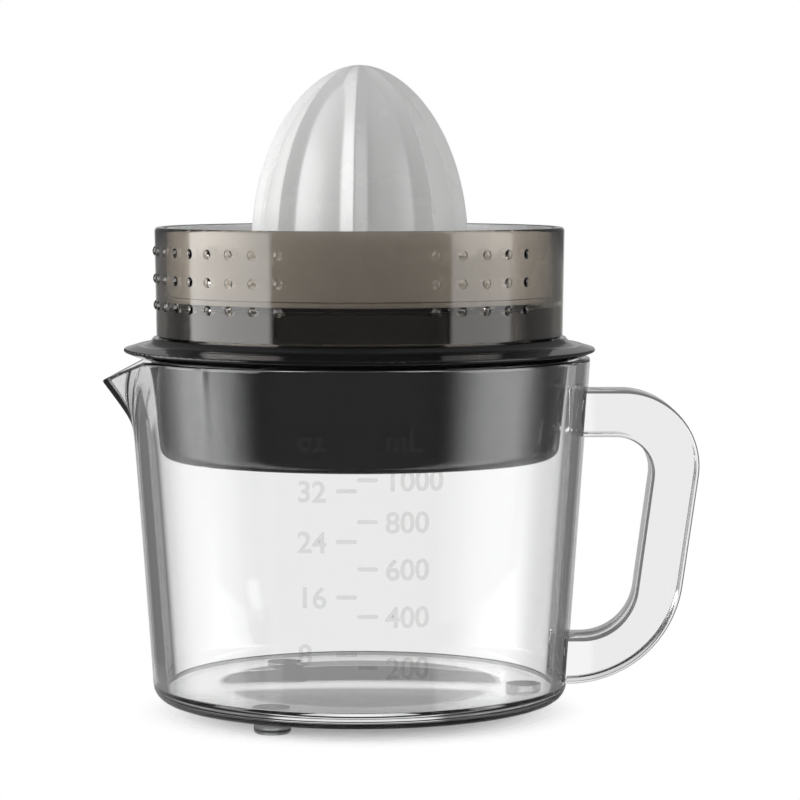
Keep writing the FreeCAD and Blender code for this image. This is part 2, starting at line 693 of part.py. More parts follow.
def motor_core():
    """Laminated U-shaped core whose arms end in poles around the rotor."""
    arms = block((-CORE_OUTER_X, CORE_OUTER_X), (CORE_FRONT_Y, CORE_BACK_Y), CORE_Z)
    window = block((-CORE_INNER_X, CORE_INNER_X), (POLE_WAIST_Y, CORE_BACK_Y - YOKE_DEPTH), CORE_Z)
    gap = block((-POLE_SLIT / 2, POLE_SLIT / 2), (CORE_FRONT_Y, POLE_WAIST_Y), CORE_Z)
    core = arms.cut([window, gap, rod(ROTOR_R + POLE_GAP, CORE_Z[0], CORE_Z[1])])
    core = motor_place(core)
    return core.cut([rod(CORE_BOLT_R, CORE_Z[0], CORE_Z[1], spot) for spot in core_bolt_spots()])


def around_arm(side, spread, y_range):
    """Block around one arm of the core, spread outwards from its sides."""
    middle = side * (CORE_INNER_X + CORE_OUTER_X) / 2
    half = (CORE_OUTER_X - CORE_INNER_X) / 2 + spread
    return block((middle - half, middle + half), y_range, (CORE_Z[0] - spread, CORE_Z[1] + spread))


def coil_bobbins():
    """Two moulded bobbins on the core's arms."""
    bobbins = []
    ends = ((BOBBIN_Y[0], BOBBIN_Y[0] + BOBBIN_FLANGE), (BOBBIN_Y[1] - BOBBIN_FLANGE, BOBBIN_Y[1]))
    for side in (-1, 1):
        flanges = [around_arm(side, BOBBIN_WALL + COIL_BUILD + BOBBIN_RIM, span) for span in ends]
        body = around_arm(side, BOBBIN_WALL, BOBBIN_Y).fuse(flanges)
        bobbins.append(motor_place(body.cut(around_arm(side, 0.0, BOBBIN_Y))))
    return Part.makeCompound(bobbins)


def motor_coils():
    """Two windings, one on each bobbin."""
    span = (BOBBIN_Y[0] + BOBBIN_FLANGE, BOBBIN_Y[1] - BOBBIN_FLANGE)
    coils = []
    for side in (-1, 1):
        winding = around_arm(side, BOBBIN_WALL + COIL_BUILD, span)
        coils.append(motor_place(winding.cut(around_arm(side, BOBBIN_WALL, span))))
    return Part.makeCompound(coils)


def rotor():
    """Two-pole magnet of the rotor."""
    magnet = rod(ROTOR_R, ROTOR_Z[0], ROTOR_Z[1], MOTOR_SPOT)
    return magnet.cut(rod(AXLE_R, ROTOR_Z[0], ROTOR_Z[1], MOTOR_SPOT))


def rotor_shaft():
    """Thin steel shaft of the rotor."""
    return rod(AXLE_R, ROTOR_SHAFT_LOW_Z, ROTOR_PINION_Z[1], MOTOR_SPOT)


def motor_pinion():
    """Small pinion pressed on the rotor's shaft."""
    body = pinion_of(0, ROTOR_PINION_Z, MOTOR_SPOT)
    return body.cut(rod(AXLE_R, ROTOR_PINION_Z[0], ROTOR_PINION_Z[1], MOTOR_SPOT))


def rotor_bushes():
    """Two sintered bushes for the rotor's shaft."""
    bore = AXLE_R + RUNNING_GAP
    low = tube(ROTOR_BUSH_R, bore, ROTOR_BUSH_LOW_Z, ROTOR_BUSH_TOP_Z, MOTOR_SPOT)
    high = tube(ROTOR_BUSH_R, bore, PLATE_LOW_Z, PLATE_TOP_Z, MOTOR_SPOT)
    return Part.makeCompound([low, high])


def core_bolts():
    """Two bolts that hold the core under the gear plate."""
    bolts = []
    for spot in core_bolt_spots():
        head = rod(CORE_BOLT_HEAD_R, CORE_Z[0] - CORE_BOLT_HEAD, CORE_Z[0], spot)
        bolt = head.fuse(rod(CORE_BOLT_R, CORE_Z[0], PLATE_TOP_Z, spot))
        bolts.append(bolt.cut(cross_slot(spot, CORE_BOLT_HEAD_R, CORE_Z[0] - CORE_BOLT_HEAD)))
    return Part.makeCompound(bolts)


def core_spacers():
    """Two sleeves between the core and the gear plate."""
    sleeves = [tube(SPACER_R, CORE_BOLT_R, CORE_Z[1], PLATE_LOW_Z, spot) for spot in core_bolt_spots()]
    return Part.makeCompound(sleeves)


def hexagon(flats, z0, z1):
    """Upright hexagonal bar on the juicer's axis."""
    corner_r = flats / math.sqrt(3)
    angles = [math.radians(60.0 * i) for i in range(7)]
    points = [FreeCAD.Vector(corner_r * math.cos(a), corner_r * math.sin(a), z0) for a in angles]
    return Part.Face(Part.makePolygon(points)).extrude(FreeCAD.Vector(0, 0, z1 - z0))


def drive_shaft():
    """Steel shaft, round in its bushes and hexagonal inside the cone."""
    return rod(SHAFT_R, SHAFT_LOW_Z, SHAFT_HEX_Z).fuse(hexagon(SHAFT_HEX_FLATS, SHAFT_HEX_Z, SHAFT_TOP_Z))


def shaft_bushes():
    """Plain bushes for the drive shaft in the hub and in the gear plate."""
    bore = SHAFT_R + RUNNING_GAP
    high = tube(BUSH_R, bore, BUSH_LOW_Z, SEAL_LOW_Z)
    low = tube(LOW_BUSH_R, bore, PLATE_LOW_Z, LOW_BUSH_TOP_Z)
    return Part.makeCompound([high, low])


def shaft_seal():
    """Rubber seal ring that keeps juice out of the housing."""
    return tube(SEAL_R, SHAFT_R + RUNNING_GAP, SEAL_LOW_Z, SEAL_TOP_Z)


def shaft_clip():
    """Open retaining clip under the output gear."""
    half = CLIP_GAP / 2
    opening = block((0.0, CLIP_R), (-half, half), (CLIP_LOW_Z, CLIP_TOP_Z))
    return tube(CLIP_R, SHAFT_R, CLIP_LOW_Z, CLIP_TOP_Z).cut(opening)


def return_spring():
    """Coil spring that lifts the shaft when the cone isn't pressed."""
    height = SPRING_TOP_Z - SPRING_LOW_Z - 2 * SPRING_WIRE_R
    pitch = height / SPRING_TURNS
    coil = Part.makeHelix(pitch, height, SPRING_R)
    coil.translate(FreeCAD.Vector(0, 0, SPRING_LOW_Z + SPRING_WIRE_R))
    start = FreeCAD.Vector(SPRING_R, 0, SPRING_LOW_Z + SPRING_WIRE_R)
    across = FreeCAD.Vector(0, 2 * math.pi * SPRING_R, pitch)
    ring = Part.Wire(Part.makeCircle(SPRING_WIRE_R, start, across))
    return Part.Wire(coil.Edges).makePipeShell([ring], True, True)


def thrust_pad():
    """Cup that the shaft's lower end turns in and that works the switch."""
    cup = rod(PAD_R, PAD_LOW_Z, PAD_TOP_Z)
    return cup.cut(rod(SHAFT_R + RUNNING_GAP, PAD_FLOOR_Z, PAD_TOP_Z))


def switch_button():
    """Button of the switch, held against the thrust pad."""
    return rod(BUTTON_R, BUTTON_LOW_Z, PAD_LOW_Z)


def press_switch():
    """Switch body with the well that its button travels in."""
    body = block(SWITCH_X, (-SWITCH_HALF_Y, SWITCH_HALF_Y), (SWITCH_LOW_Z, SWITCH_TOP_Z))
    return body.cut(rod(BUTTON_R + 2 * RUNNING_GAP, SWITCH_WELL_Z, SWITCH_TOP_Z))


def strainer_slots():
    """Radial juice slots of the strainer's floor, in groups."""
    half = SLOT_WIDTH / 2
    bar = block((SLOT_IN_R, SLOT_OUT_R), (-half, half), STRAINER_FLOOR_Z)
    slots = []
    for group in range(SLOT_GROUPS):
        for offset in SLOT_OFFSETS:
            slots.append(turned(bar, 360.0 * group / SLOT_GROUPS + offset * SLOT_STEP))
    return slots


def strainer():
    """White strainer basket: wall, slotted floor and collar around the hub."""
    floor_low, floor_top = STRAINER_FLOOR_Z
    inside = STRAINER_R - STRAINER_WALL
    bead_top = COLLAR_LOW_Z + COLLAR_BEAD
    body = lathe([
        (COLLAR_BORE_R, COLLAR_LOW_Z), (COLLAR_BEAD_R, COLLAR_LOW_Z), (COLLAR_BEAD_R, bead_top),
        (COLLAR_R, bead_top), (COLLAR_R, floor_low), (STRAINER_R, floor_low),
        (STRAINER_R, STRAINER_TOP_Z), (inside, STRAINER_TOP_Z), (inside, floor_top),
        (COLLAR_R, floor_top), (COLLAR_R, COLLAR_TOP_Z), (COLLAR_BORE_R, COLLAR_TOP_Z),
    ])
    body = rounded(body, STRAINER_RIM_ROUND, ring_at(STRAINER_TOP_Z))
    half = KEY_WIDTH / 2 + KEYWAY_SPARE / 2
    keyway = block((COLLAR_BORE_R - OVERLAP, KEY_R + KEYWAY_SPARE), (-half, half),
                   (COLLAR_LOW_Z, KEY_TOP_Z + KEYWAY_SPARE))
    return body.cut(strainer_slots() + around(keyway, KEY_COUNT)).removeSplitter()


def sector(angle, inner_r, outer_r, z_range):
    """Ring sector centred on +X."""
    start = FreeCAD.Vector(inner_r, 0, z_range[0])
    edge = Part.makeLine(start, FreeCAD.Vector(outer_r, 0, z_range[0]))
    edge.rotate(ORIGIN, UP, -angle / 2)
    face = edge.revolve(ORIGIN, UP, angle)
    return face.extrude(FreeCAD.Vector(0, 0, z_range[1] - z_range[0]))


def pulp_shutter():
    """Ring with windows that the twist ring moves under the strainer's slots."""
    plate = tube(SHUTTER_R, SHUTTER_BORE_R, SHUTTER_Z[0], SHUTTER_Z[1])
    window = sector(WINDOW_ANGLE, WINDOW_IN_R, WINDOW_OUT_R, SHUTTER_Z)
    return plate.cut(around(window, SLOT_GROUPS))


def bump_angles():
    """Plan angles of the grip bumps: all along the spout's side, and clear of the handle's middle."""
    spout_side = [BUMP_START + BUMP_STEP * i for i in range(BUMPS_BESIDE_SPOUT)]
    handle_side = [BUMP_START + BUMP_STEP * i for i in range(BUMPS_BESIDE_HANDLE)]
    angles = [-90.0 - a for a in spout_side]
    angles += [-90.0 + a for a in handle_side]
    angles += [90.0 - a for a in handle_side]
    return angles


def ring_radius(z):
    """Outer radius of the twist ring at a height."""
    return RING_LOW_R + (z - RING_LOW_Z) / (RING_TOP_Z - RING_LOW_Z) * (RING_TOP_R - RING_LOW_R)


def grip_bumps():
    """Round bumps on the twist ring, as caps of spheres sunk into its wall."""
    ball_r = (BUMP_R ** 2 + BUMP_HEIGHT ** 2) / (2 * BUMP_HEIGHT)
    balls = []
    for z in BUMP_ROWS_Z:
        reach = ring_radius(z) + BUMP_HEIGHT - ball_r
        ball = Part.makeSphere(ball_r, FreeCAD.Vector(reach, 0, z))
        balls += [turned(ball, angle) for angle in bump_angles()]
    return balls


def twist_ring():
    """Smoked ring around the strainer that sets the pulp, with rows of grip bumps."""
    ledge_low, ledge_top = RING_LEDGE_Z
    body = lathe([
        (RING_BORE_R, RING_LOW_Z), (RING_LOW_R, RING_LOW_Z), (RING_TOP_R, RING_TOP_Z),
        (RING_BORE_R, RING_TOP_Z), (RING_BORE_R, ledge_top), (RING_LEDGE_R, ledge_top),
        (RING_LEDGE_R, ledge_low), (RING_BORE_R, ledge_low),
    ])
    body = rounded(body, RING_RIM_ROUND, ring_at(RING_TOP_Z))
    bores = [rod(RING_BORE_R, RING_LOW_Z, ledge_low), rod(RING_BORE_R, ledge_top, RING_TOP_Z)]
    return body.fuse(grip_bumps()).cut(bores)


def half_meridian(radius, height):
    """Face in the XZ plane from the axis to a quarter ellipse over a straight foot."""
    middle = FreeCAD.Vector(0, 0, CONE_MIDDLE_Z)
    top = FreeCAD.Vector(0, 0, CONE_MIDDLE_Z + height)
    side = FreeCAD.Vector(radius, 0, CONE_MIDDLE_Z)
    arc = Part.ArcOfEllipse(Part.Ellipse(top, side, middle), 0, math.pi / 2).toShape()
    corners = [side, FreeCAD.Vector(radius, 0, CONE_LOW_Z), FreeCAD.Vector(0, 0, CONE_LOW_Z), top]
    return Part.Face(Part.Wire([arc] + [Part.makeLine(a, b) for a, b in zip(corners, corners[1:])]))


def cone_rib():
    """Roof-shaped rib towards +X: its crest is an ellipse, and each side falls away evenly."""
    face = half_meridian(CONE_R, CONE_HEIGHT)
    fall = -RIB_SLOPE * RIB_REACH
    sides = [face.extrude(FreeCAD.Vector(fall, reach, 0)) for reach in (RIB_REACH, -RIB_REACH)]
    wedge = sector(360.0 / CONE_RIBS, 0.0, OVERSIZE, (CONE_LOW_Z, CONE_MIDDLE_Z + CONE_HEIGHT))
    return sides[0].fuse(sides[1]).common(wedge)


def reamer_cone():
    """White reamer cone with roof-shaped ribs on a smooth core, a round skirt and a hexagonal socket."""
    core = half_meridian(CONE_CORE_R, CONE_CORE_HEIGHT).revolve(ORIGIN, UP, 360)
    skirt = rod(CONE_SKIRT_R, CONE_LOW_Z, CONE_SKIRT_TOP_Z)
    body = core.fuse(around(cone_rib(), CONE_RIBS, CONE_TURN) + [skirt]).removeSplitter()
    crown = CONE_MIDDLE_Z + CONE_BORE_HEIGHT
    shoulder = (CONE_BORE_R * math.sqrt(0.5), CONE_MIDDLE_Z + CONE_BORE_HEIGHT * math.sqrt(0.5))
    bore = lathe([(0.0, CONE_LOW_Z), (CONE_BORE_R, CONE_LOW_Z), (CONE_BORE_R, CONE_MIDDLE_Z),
                  (shoulder, (0.0, crown))])
    socket = rod(SOCKET_R, SOCKET_LOW_Z, crown)
    hole = hexagon(SHAFT_HEX_FLATS + 2 * HEX_GAP, SOCKET_LOW_Z, SOCKET_TOP_Z)
    return body.cut(bore.cut(socket)).cut(hole)


NODES = {
    "jug": jug,
    "handle": handle,
    "jug_feet": jug_feet,
    "lip_ring": lip_ring,
    "spigot_ring": spigot_ring,
    "upper_housing": upper_housing,
    "hub": hub,
    "lower_housing": lower_housing,
    "housing_screws": housing_screws,
    "cord_gland": cord_gland,
    "gear_plate": gear_plate,
    "motor_core": motor_core,
    "coil_bobbins": coil_bobbins,
    "motor_coils": motor_coils,
    "core_bolts": core_bolts,
    "core_spacers": core_spacers,
    "rotor": rotor,
    "rotor_shaft": rotor_shaft,
    "motor_pinion": motor_pinion,
    "rotor_bushes": rotor_bushes,
    "gear_axles": gear_axles,
    "first_gear": first_gear,
    "second_gear": second_gear,
    "output_gear": output_gear,
    "drive_shaft": drive_shaft,
    "shaft_bushes": shaft_bushes,
    "shaft_seal": shaft_seal,
    "shaft_clip": shaft_clip,
    "return_spring": return_spring,
    "thrust_pad": thrust_pad,
    "switch_button": switch_button,
    "press_switch": press_switch,
    "strainer": strainer,
    "pulp_shutter": pulp_shutter,
    "twist_ring": twist_ring,
    "reamer_cone": reamer_cone,
}


def main():
    """Build every piece and write it at its place from the part's origin."""
    os.makedirs("parts", exist_ok=True)
    for name, build in NODES.items():
        shape = build().translated(FreeCAD.Vector(AXIS_X, 0, 0))
        box = shape.BoundBox
        print(name, "solids", len(shape.Solids), "valid", shape.isValid(), "volume", round(shape.Volume),
              "box", [round(v, 2) for v in (box.XMin, box.YMin, box.ZMin, box.XMax, box.YMax, box.ZMax)])
        shape.exportStep("parts/" + name + ".step")


main()
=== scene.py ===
import json
import math

import bmesh
import bpy
from mathutils import Matrix, Vector


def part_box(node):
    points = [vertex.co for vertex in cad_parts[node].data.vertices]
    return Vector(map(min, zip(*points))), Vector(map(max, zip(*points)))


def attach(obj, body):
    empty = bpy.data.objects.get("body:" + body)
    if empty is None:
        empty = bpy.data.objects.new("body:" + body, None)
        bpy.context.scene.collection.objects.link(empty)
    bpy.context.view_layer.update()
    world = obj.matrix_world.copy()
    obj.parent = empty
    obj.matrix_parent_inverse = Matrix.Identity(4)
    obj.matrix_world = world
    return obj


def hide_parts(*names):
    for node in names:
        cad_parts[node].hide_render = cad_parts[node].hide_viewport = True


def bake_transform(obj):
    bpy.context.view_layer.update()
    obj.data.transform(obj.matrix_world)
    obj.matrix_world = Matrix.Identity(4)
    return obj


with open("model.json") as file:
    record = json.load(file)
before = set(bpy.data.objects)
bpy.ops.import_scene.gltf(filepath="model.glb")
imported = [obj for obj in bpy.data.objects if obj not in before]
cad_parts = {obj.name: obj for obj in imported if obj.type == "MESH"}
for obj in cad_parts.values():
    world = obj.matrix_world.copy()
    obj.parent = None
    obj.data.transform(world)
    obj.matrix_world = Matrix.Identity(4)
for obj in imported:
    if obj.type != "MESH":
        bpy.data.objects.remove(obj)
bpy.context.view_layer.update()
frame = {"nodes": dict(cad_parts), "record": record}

bl_info = {
    "name": "Citrus Press Juicer",
    "version": (1, 0, 0),
    "blender": (4, 5, 0),
    "location": "3D View > Sidebar > Juicer",
    "description": "Dresses the frame of a citrus press with clear, smoked, white and black plastic",
    "category": "Object",
}

# Boxes of the frame at rest, in metres. +Z is up, -Y the front, -X the spout and +X the handle.
JUG_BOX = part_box("jug")
RING_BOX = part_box("twist_ring")
CONE_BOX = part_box("reamer_cone")
AXIS_X = (CONE_BOX[0].x + CONE_BOX[1].x) / 2
MM = 0.001
FULL_TURN = 2 * math.pi
FRONT = -math.pi / 2  # plan angle of the front, from +X
CREASE = 40.0  # degrees between two faces, above which their edge is shaded sharp
WELD = 1e-6  # points closer than this are merged
ROUND_STEPS = 6  # along a rounded edge
SLOT_OF_NODE = {part["node"]: part["material_slot"] for part in frame["record"]["subparts"]}


# Settings

def size(name, description, default):
    """Property for a length in metres."""
    return bpy.props.FloatProperty(
        name=name, description=description, default=default, unit="LENGTH", precision=4)


def share(name, description, default):
    """Property for a plain number."""
    return bpy.props.FloatProperty(name=name, description=description, default=default, precision=3)


def angle(name, description, degrees):
    """Property for an angle, given in degrees."""
    return bpy.props.FloatProperty(
        name=name, description=description, default=math.radians(degrees), subtype="ANGLE", unit="ROTATION")


def number(name, description, default):
    """Property for a count."""
    return bpy.props.IntProperty(name=name, description=description, default=default, min=1)


def colour(name, description, default):
    """Property for a linear colour."""
    return bpy.props.FloatVectorProperty(
        name=name, description=description, default=default, size=3, min=0.0, max=1.0, subtype="COLOR")


class JugSizes(bpy.types.PropertyGroup):
    """Sizes of the clear jug, its spout and its handle."""
    base_z: size("Base height", "Height of the underside above the table", JUG_BOX[0].z)
    rim_z: size("Rim height", "Height of the rim", 0.118)
    base_radius: size("Base radius", "Outer radius at the base", 0.0686)
    rim_radius: size("Rim radius", "Outer radius at the rim", JUG_BOX[1].y)
    wall: size("Wall", "Thickness of the side wall", 0.0042)
    floor: size("Floor", "Thickness of the floor", 0.0054)
    dome: size("Base hollow", "Height of the hollow under the base", 0.0024)
    dome_radius: size("Base hollow radius", "Radius of the hollow under the base", 0.0465)
    base_round: size("Base rounding", "Radius of the outer edge of the base", 0.0055)
    floor_round: size("Floor rounding", "Radius of the inner edge of the floor", 0.0005)
    rim_round: size("Rim rounding", "Radius of the rim's edges", 0.0008)
    spout_reach: size("Spout reach", "Distance from the jug's axis to the tip of the spout", 0.0862)
    spout_tip_z: size("Spout height", "Height of the tip of the spout", 0.1099)
    spout_dip: size("Spout dip start", "Distance from the axis at which the rim starts to dip", 0.0695)
    spout_slope: share("Keel slope", "Run of the spout's keel per unit of height", 0.76)
    spout_angle: angle("Spout half angle", "Angle between the keel and each side of the spout", 53.0)
    spout_wall: size("Spout wall", "Thickness of the spout along its keel", 0.0052)
    spout_nose: size("Spout nose", "How far the rounded keel stays behind a sharp one", 0.0006)
    spout_blend: size("Spout blend", "Softness of the crease between spout and wall", 0.0025)
    handle_width: size("Handle width", "Width of the handle from front to back", 0.022)
    handle_edge: size("Handle edge", "Radius of the handle's long edges", 0.0012)
    handle_out: size("Handle reach", "Distance from the axis to the grip's outside, at the top", 0.1162)
    handle_out_low: size("Handle low reach", "Distance from the axis to the grip's outside, low down", 0.1024)
    handle_in: size("Grip inside", "Distance from the axis to the grip's inside, at the top", 0.0986)
    handle_in_low: size("Grip low inside", "Distance from the axis to the grip's inside, low down", 0.0896)
    out_round: size("Outer corner", "Radius of the handle's outer corner, at the top", 0.025)
    out_round_low: size("Outer low corner", "Radius of the handle's outer corner, low down", 0.038)
    in_round: size("Inner corner", "Radius of the handle's inner corner, at the top", 0.012)
    in_round_low: size("Inner low corner", "Radius of the handle's inner corner, low down", 0.018)
    handle_top: size("Handle top", "Upper side of the handle's upper arm", 0.1072)
    handle_top_under: size("Upper arm underside", "Lower side of the handle's upper arm", 0.092)
    handle_low: size("Handle foot", "Lower side of the handle's lower arm", 0.0098)
    handle_low_top: size("Lower arm top", "Upper side of the handle's lower arm", 0.025)


class RingSizes(bpy.types.PropertyGroup):
    """Sizes of the smoked twist ring."""
    low_radius: size("Lower radius", "Outer radius at the lower edge", 0.0674)
    top_radius: size("Upper radius", "Outer radius at the rim", 0.0679)
    bore: size("Bore", "Inner radius", 0.065)
    ledge_radius: size("Ledge radius", "Inner radius of the ledge that carries the pulp shutter", 0.061)
    ledge_low: size("Ledge underside", "Height of the ledge's underside", 0.1356)
    ledge_top: size("Ledge top", "Height of the ledge's upper side", 0.1371)
    edge: size("Edge rounding", "Radius of the rim's edges", 0.0012)
    bump_radius: size("Bump radius", "Radius of a grip bump", 0.00165)
    bump_height: size("Bump height", "How far a grip bump stands out", 0.0008)
    bump_root: size("Bump root", "How far a grip bump reaches into the wall", 0.0004)
    bump_start: angle("First bump", "Angle from the front to the first column of bumps", 21.6)
    bump_step: angle("Bump step", "Angle between two columns of bumps", 7.8)
    spout_columns: number("Columns at the spout", "Columns of bumps around the spout's side", 18)
    handle_columns: number("Columns at the handle", "Columns of bumps on each side of the handle", 5)


class ConeSizes(bpy.types.PropertyGroup):
    """Sizes of the ribbed reamer cone."""
    radius: size("Radius", "Distance from the axis to a rib, where the cone is widest", 0.0362)
    middle_z: size("Widest height", "Height above which the cone narrows", 0.155)
    bulge: share("Bulge", "Roundness of the ribs' outline; 0.5 is an ellipse and more is more pointed", 0.53)
    core_radius: size("Core radius", "Radius of the round core between the ribs", 0.0325)
    core_height: size("Core height", "Height of the core above the widest place", 0.0573)
    turn: angle("Turn", "Angle from +X to the first rib", -2.5)
    rib_slope: share("Rib slope", "Fall of a rib's sides per unit of length sideways", 0.9)
    rib_round: size("Rib rounding", "Length over which a rib's crest is rounded", 0.00025)
    rib_blend: size("Rib blend", "Softness of the crease between rib and core", 0.0003)
    skirt_radius: size("Skirt radius", "Radius of the round skirt", 0.0372)
    skirt_top: size("Skirt top", "Height of the skirt's upper side", 0.146)
    skirt_edge: size("Skirt edge", "Width of the bevel on the skirt's edges", 0.0004)
    bore: size("Bore", "Radius of the hollow under the cone", 0.0282)
    crown_z: size("Hollow height", "Height of the hollow's crown", 0.204)
    socket: size("Socket", "Outer radius of the shaft's socket", 0.0075)
    socket_low: size("Socket foot", "Height of the socket's lower end", 0.1496)
    socket_top: size("Socket end", "Height at which the hexagonal hole ends", 0.1674)
    hexagon: size("Hexagon", "Distance between two flats of the hole", 0.00704)
    ribs: number("Ribs", "Ribs around the cone", 8)


class ScaleSizes(bpy.types.PropertyGroup):
    """Sizes of the measuring scale on the jug's front."""
    figure: size("Figure height", "Size of the figures", 0.0094)
    bold: size("Figure weight", "How far the figures' strokes are thickened", 0.00016)
    relief: size("Relief", "How far the marks stand out from the wall", 0.0003)
    sunk: size("Sunk depth", "How far the marks reach into the wall", 0.0001)
    tick_length: size("Tick length", "Length of a mark", 0.0066)
    tick_width: size("Tick width", "Width of a mark", 0.0013)
    figure_gap: size("Figure gap", "Distance from the middle line to the figures", 0.0088)
    ounce_gap: size("Ounce gap", "Distance from the middle line to the left end of the ounces", 0.0189)
    drop: size("Figure drop", "How far a figure is set below its mark", 0.0007)
    label_z: size("Label height", "Height of the unit labels", 0.0958)


class Finishes(bpy.types.PropertyGroup):
    """Colours of the materials."""
    clear: colour("Clear plastic", "Tint of the jug", (0.955, 0.96, 0.955))
    smoke: colour("Smoked plastic", "Tint of the twist ring", (0.79, 0.735, 0.665))
    white: colour("White plastic", "Cone and strainer", (0.9, 0.9, 0.895))
    black: colour("Black plastic", "Motor housing", (0.008, 0.008, 0.009))
    scale: colour("Scale marks", "Frosted marks on the jug", (0.1, 0.1, 0.1))
    gear: colour("Gear plastic", "Moulded gears", (0.72, 0.68, 0.58))
    bobbin: colour("Bobbin plastic", "Coil bobbins", (0.03, 0.035, 0.04))
    switch: colour("Switch plastic", "Body of the switch", (0.02, 0.02, 0.022))
    button: colour("Button plastic", "Button of the switch", (0.55, 0.05, 0.03))
    foot: colour("Foot rubber", "Feet under the jug", (0.9, 0.91, 0.91))
    rubber: colour("Black rubber", "Seal and gland", (0.012, 0.012, 0.012))
    steel: colour("Steel", "Shafts and screws", (0.56, 0.56, 0.57))
    plate: colour("Plate steel", "Gear plate", (0.5, 0.51, 0.52))
    core: colour("Core steel", "Laminated core", (0.2, 0.2, 0.21))
    copper: colour("Copper", "Windings", (0.62, 0.23, 0.09))
    bronze: colour("Bronze", "Sintered bushes", (0.4, 0.25, 0.11))
    magnet: colour("Magnet", "Rotor", (0.06, 0.06, 0.065))


class StageSettings(bpy.types.PropertyGroup):
    """Camera and light."""
    camera_distance: size("Camera distance", "Distance of the camera in front of the jug's axis", 1.090)
    camera_height: size("Camera height", "Height of the camera above the table", 0.1852)
    camera_tilt: angle("Camera tilt", "How far the camera looks down", 4.285)
    lens: bpy.props.FloatProperty(
        name="Lens", description="Focal length in millimetres", default=147.7, unit="CAMERA")
    left_level: share("Left panel", "Strength of the light panel on the spout's side", 3.6)
    right_level: share("Right panel", "Strength of the light panel on the handle's side", 2.2)
    side_level: share("Side glow", "Strength of the low glow to both sides, seen through clear plastic", 3.0)
    top_level: share("Top panel", "Strength of the light panel overhead", 1.15)
    fill_level: share("Fill", "Strength of the soft light from all around", 0.17)
    floor_tone: share("Floor tone", "Reflectance of the floor", 0.82)
    floor_lift: share("Floor lift", "Light that the floor adds for the camera", 0.2)


class JuicerSettings(bpy.types.PropertyGroup):
    """All settings of the juicer."""
    jug: bpy.props.PointerProperty(type=JugSizes)
    ring: bpy.props.PointerProperty(type=RingSizes)
    cone: bpy.props.PointerProperty(type=ConeSizes)
    scale: bpy.props.PointerProperty(type=ScaleSizes)
    finish: bpy.props.PointerProperty(type=Finishes)
    stage: bpy.props.PointerProperty(type=StageSettings)


# Shader trees

class Value:
    """Socket of a shader tree that takes part in Python arithmetic."""

    def __init__(self, shade, socket):
        self.shade = shade
        self.socket = socket

    def maths(self, operation, *others):
        """Result of a Math node of this value and others."""
        sockets = dict(enumerate((self,) + others))
        return self.shade.value(self.shade.node("Math", sockets, operation=operation))

    def __add__(self, other):
        return self.maths("ADD", other)

    __radd__ = __add__

    def __sub__(self, other):
        return self.maths("SUBTRACT", other)

    def __rsub__(self, other):
        return self.maths("MULTIPLY_ADD", -1.0, other)

    def __mul__(self, other):
        return self.maths("MULTIPLY", other)

    __rmul__ = __mul__

    def __abs__(self):
        return self.maths("ABSOLUTE")

    def over(self, other):
        """The greater of two values."""
        return self.maths("MAXIMUM", other)

    def ramp(self, start, end, low=0.0, high=1.0):
        """Smooth run from low to high as the value goes from start to end."""
        sockets = {"Value": self, "From Min": start, "From Max": end, "To Min": low, "To Max": high}
        return self.shade.value(self.shade.node("MapRange", sockets, interpolation_type="SMOOTHSTEP"))


class Shade:
    """Shader tree of a material or world, under construction."""

    def __init__(self, owner):
        owner.use_nodes = True
        self.owner = owner
        self.tree = owner.node_tree
        self.tree.nodes.clear()

    def node(self, kind, sockets=None, **settings):
        """Node of a kind, with its settings, then the values or links of its sockets."""
        node = self.tree.nodes.new("ShaderNode" + kind)
        for name, setting in settings.items():
            setattr(node, name, setting)
        for name, content in (sockets or {}).items():
            if isinstance(content, Value):
                self.tree.links.new(content.socket, node.inputs[name])
            else:
                node.inputs[name].default_value = content
        return node

    def value(self, node, output=0):
        """Output of a node as a value."""
        return Value(self, node.outputs[output])

    def grey(self, level):
        """Colour of a level, which may be more than 1."""
        return self.value(self.node("CombineColor", {"Red": level, "Green": level, "Blue": level}))

    def mix(self, factor, first, second):
        """Colour between two colours."""
        return self.value(self.node("Mix", {0: factor, 6: first, 7: second}, data_type="RGBA"), 2)

    def place(self, kind="Object"):
        """Texture coordinate of a kind."""
        return self.value(self.node("TexCoord"), kind)

    def axes(self, kind="Object"):
        """X, Y and Z of a texture coordinate."""
        parts = self.node("SeparateXYZ", {"Vector": self.place(kind)})
        return [self.value(parts, axis) for axis in "XYZ"]

    def rays(self):
        """Whether a ray comes from the camera, through clear plastic or off a gloss."""
        path = self.node("LightPath")
        return [self.value(path, f"Is {kind} Ray") for kind in ("Camera", "Transmission", "Glossy")]

    def noise(self, scale, detail=3.0, stretch=(1.0, 1.0, 1.0)):
        """Cloudy noise between 0 and 1, with its scale in features per metre."""
        spot = self.value(self.node("VectorMath", {0: self.place(), 1: stretch}, operation="MULTIPLY"))
        return self.value(self.node("TexNoise", {"Vector": spot, "Scale": scale, "Detail": detail}))

    def bump(self, height, strength, distance):
        """Normal of a surface with small relief."""
        return self.value(self.node("Bump", {"Height": height, "Strength": strength, "Distance": distance}))

    def surface(self, kind, sockets, output="OutputMaterial"):
        """Finish the tree with a shader of a kind; returns the finished material or world."""
        self.node(output, {"Surface": self.value(self.node(kind, sockets))})
        return self.owner


# Materials

HANDLE_TINT = (0.0765, 0.0785)  # distances from the axis over which the handle's denser tint sets in
GRAIN_DEPTH = 0.2 * MM  # full height of the fine relief on plastic, rubber and metal


def tinted(tone, factor=1.0):
    """Opaque colour from a tone, lighter or darker by a factor."""
    return tuple(min(1.0, part * factor) for part in tone) + (1.0,)


def new_shade(name):
    """Empty shader tree of a new material."""
    return Shade(bpy.data.materials.new(name))


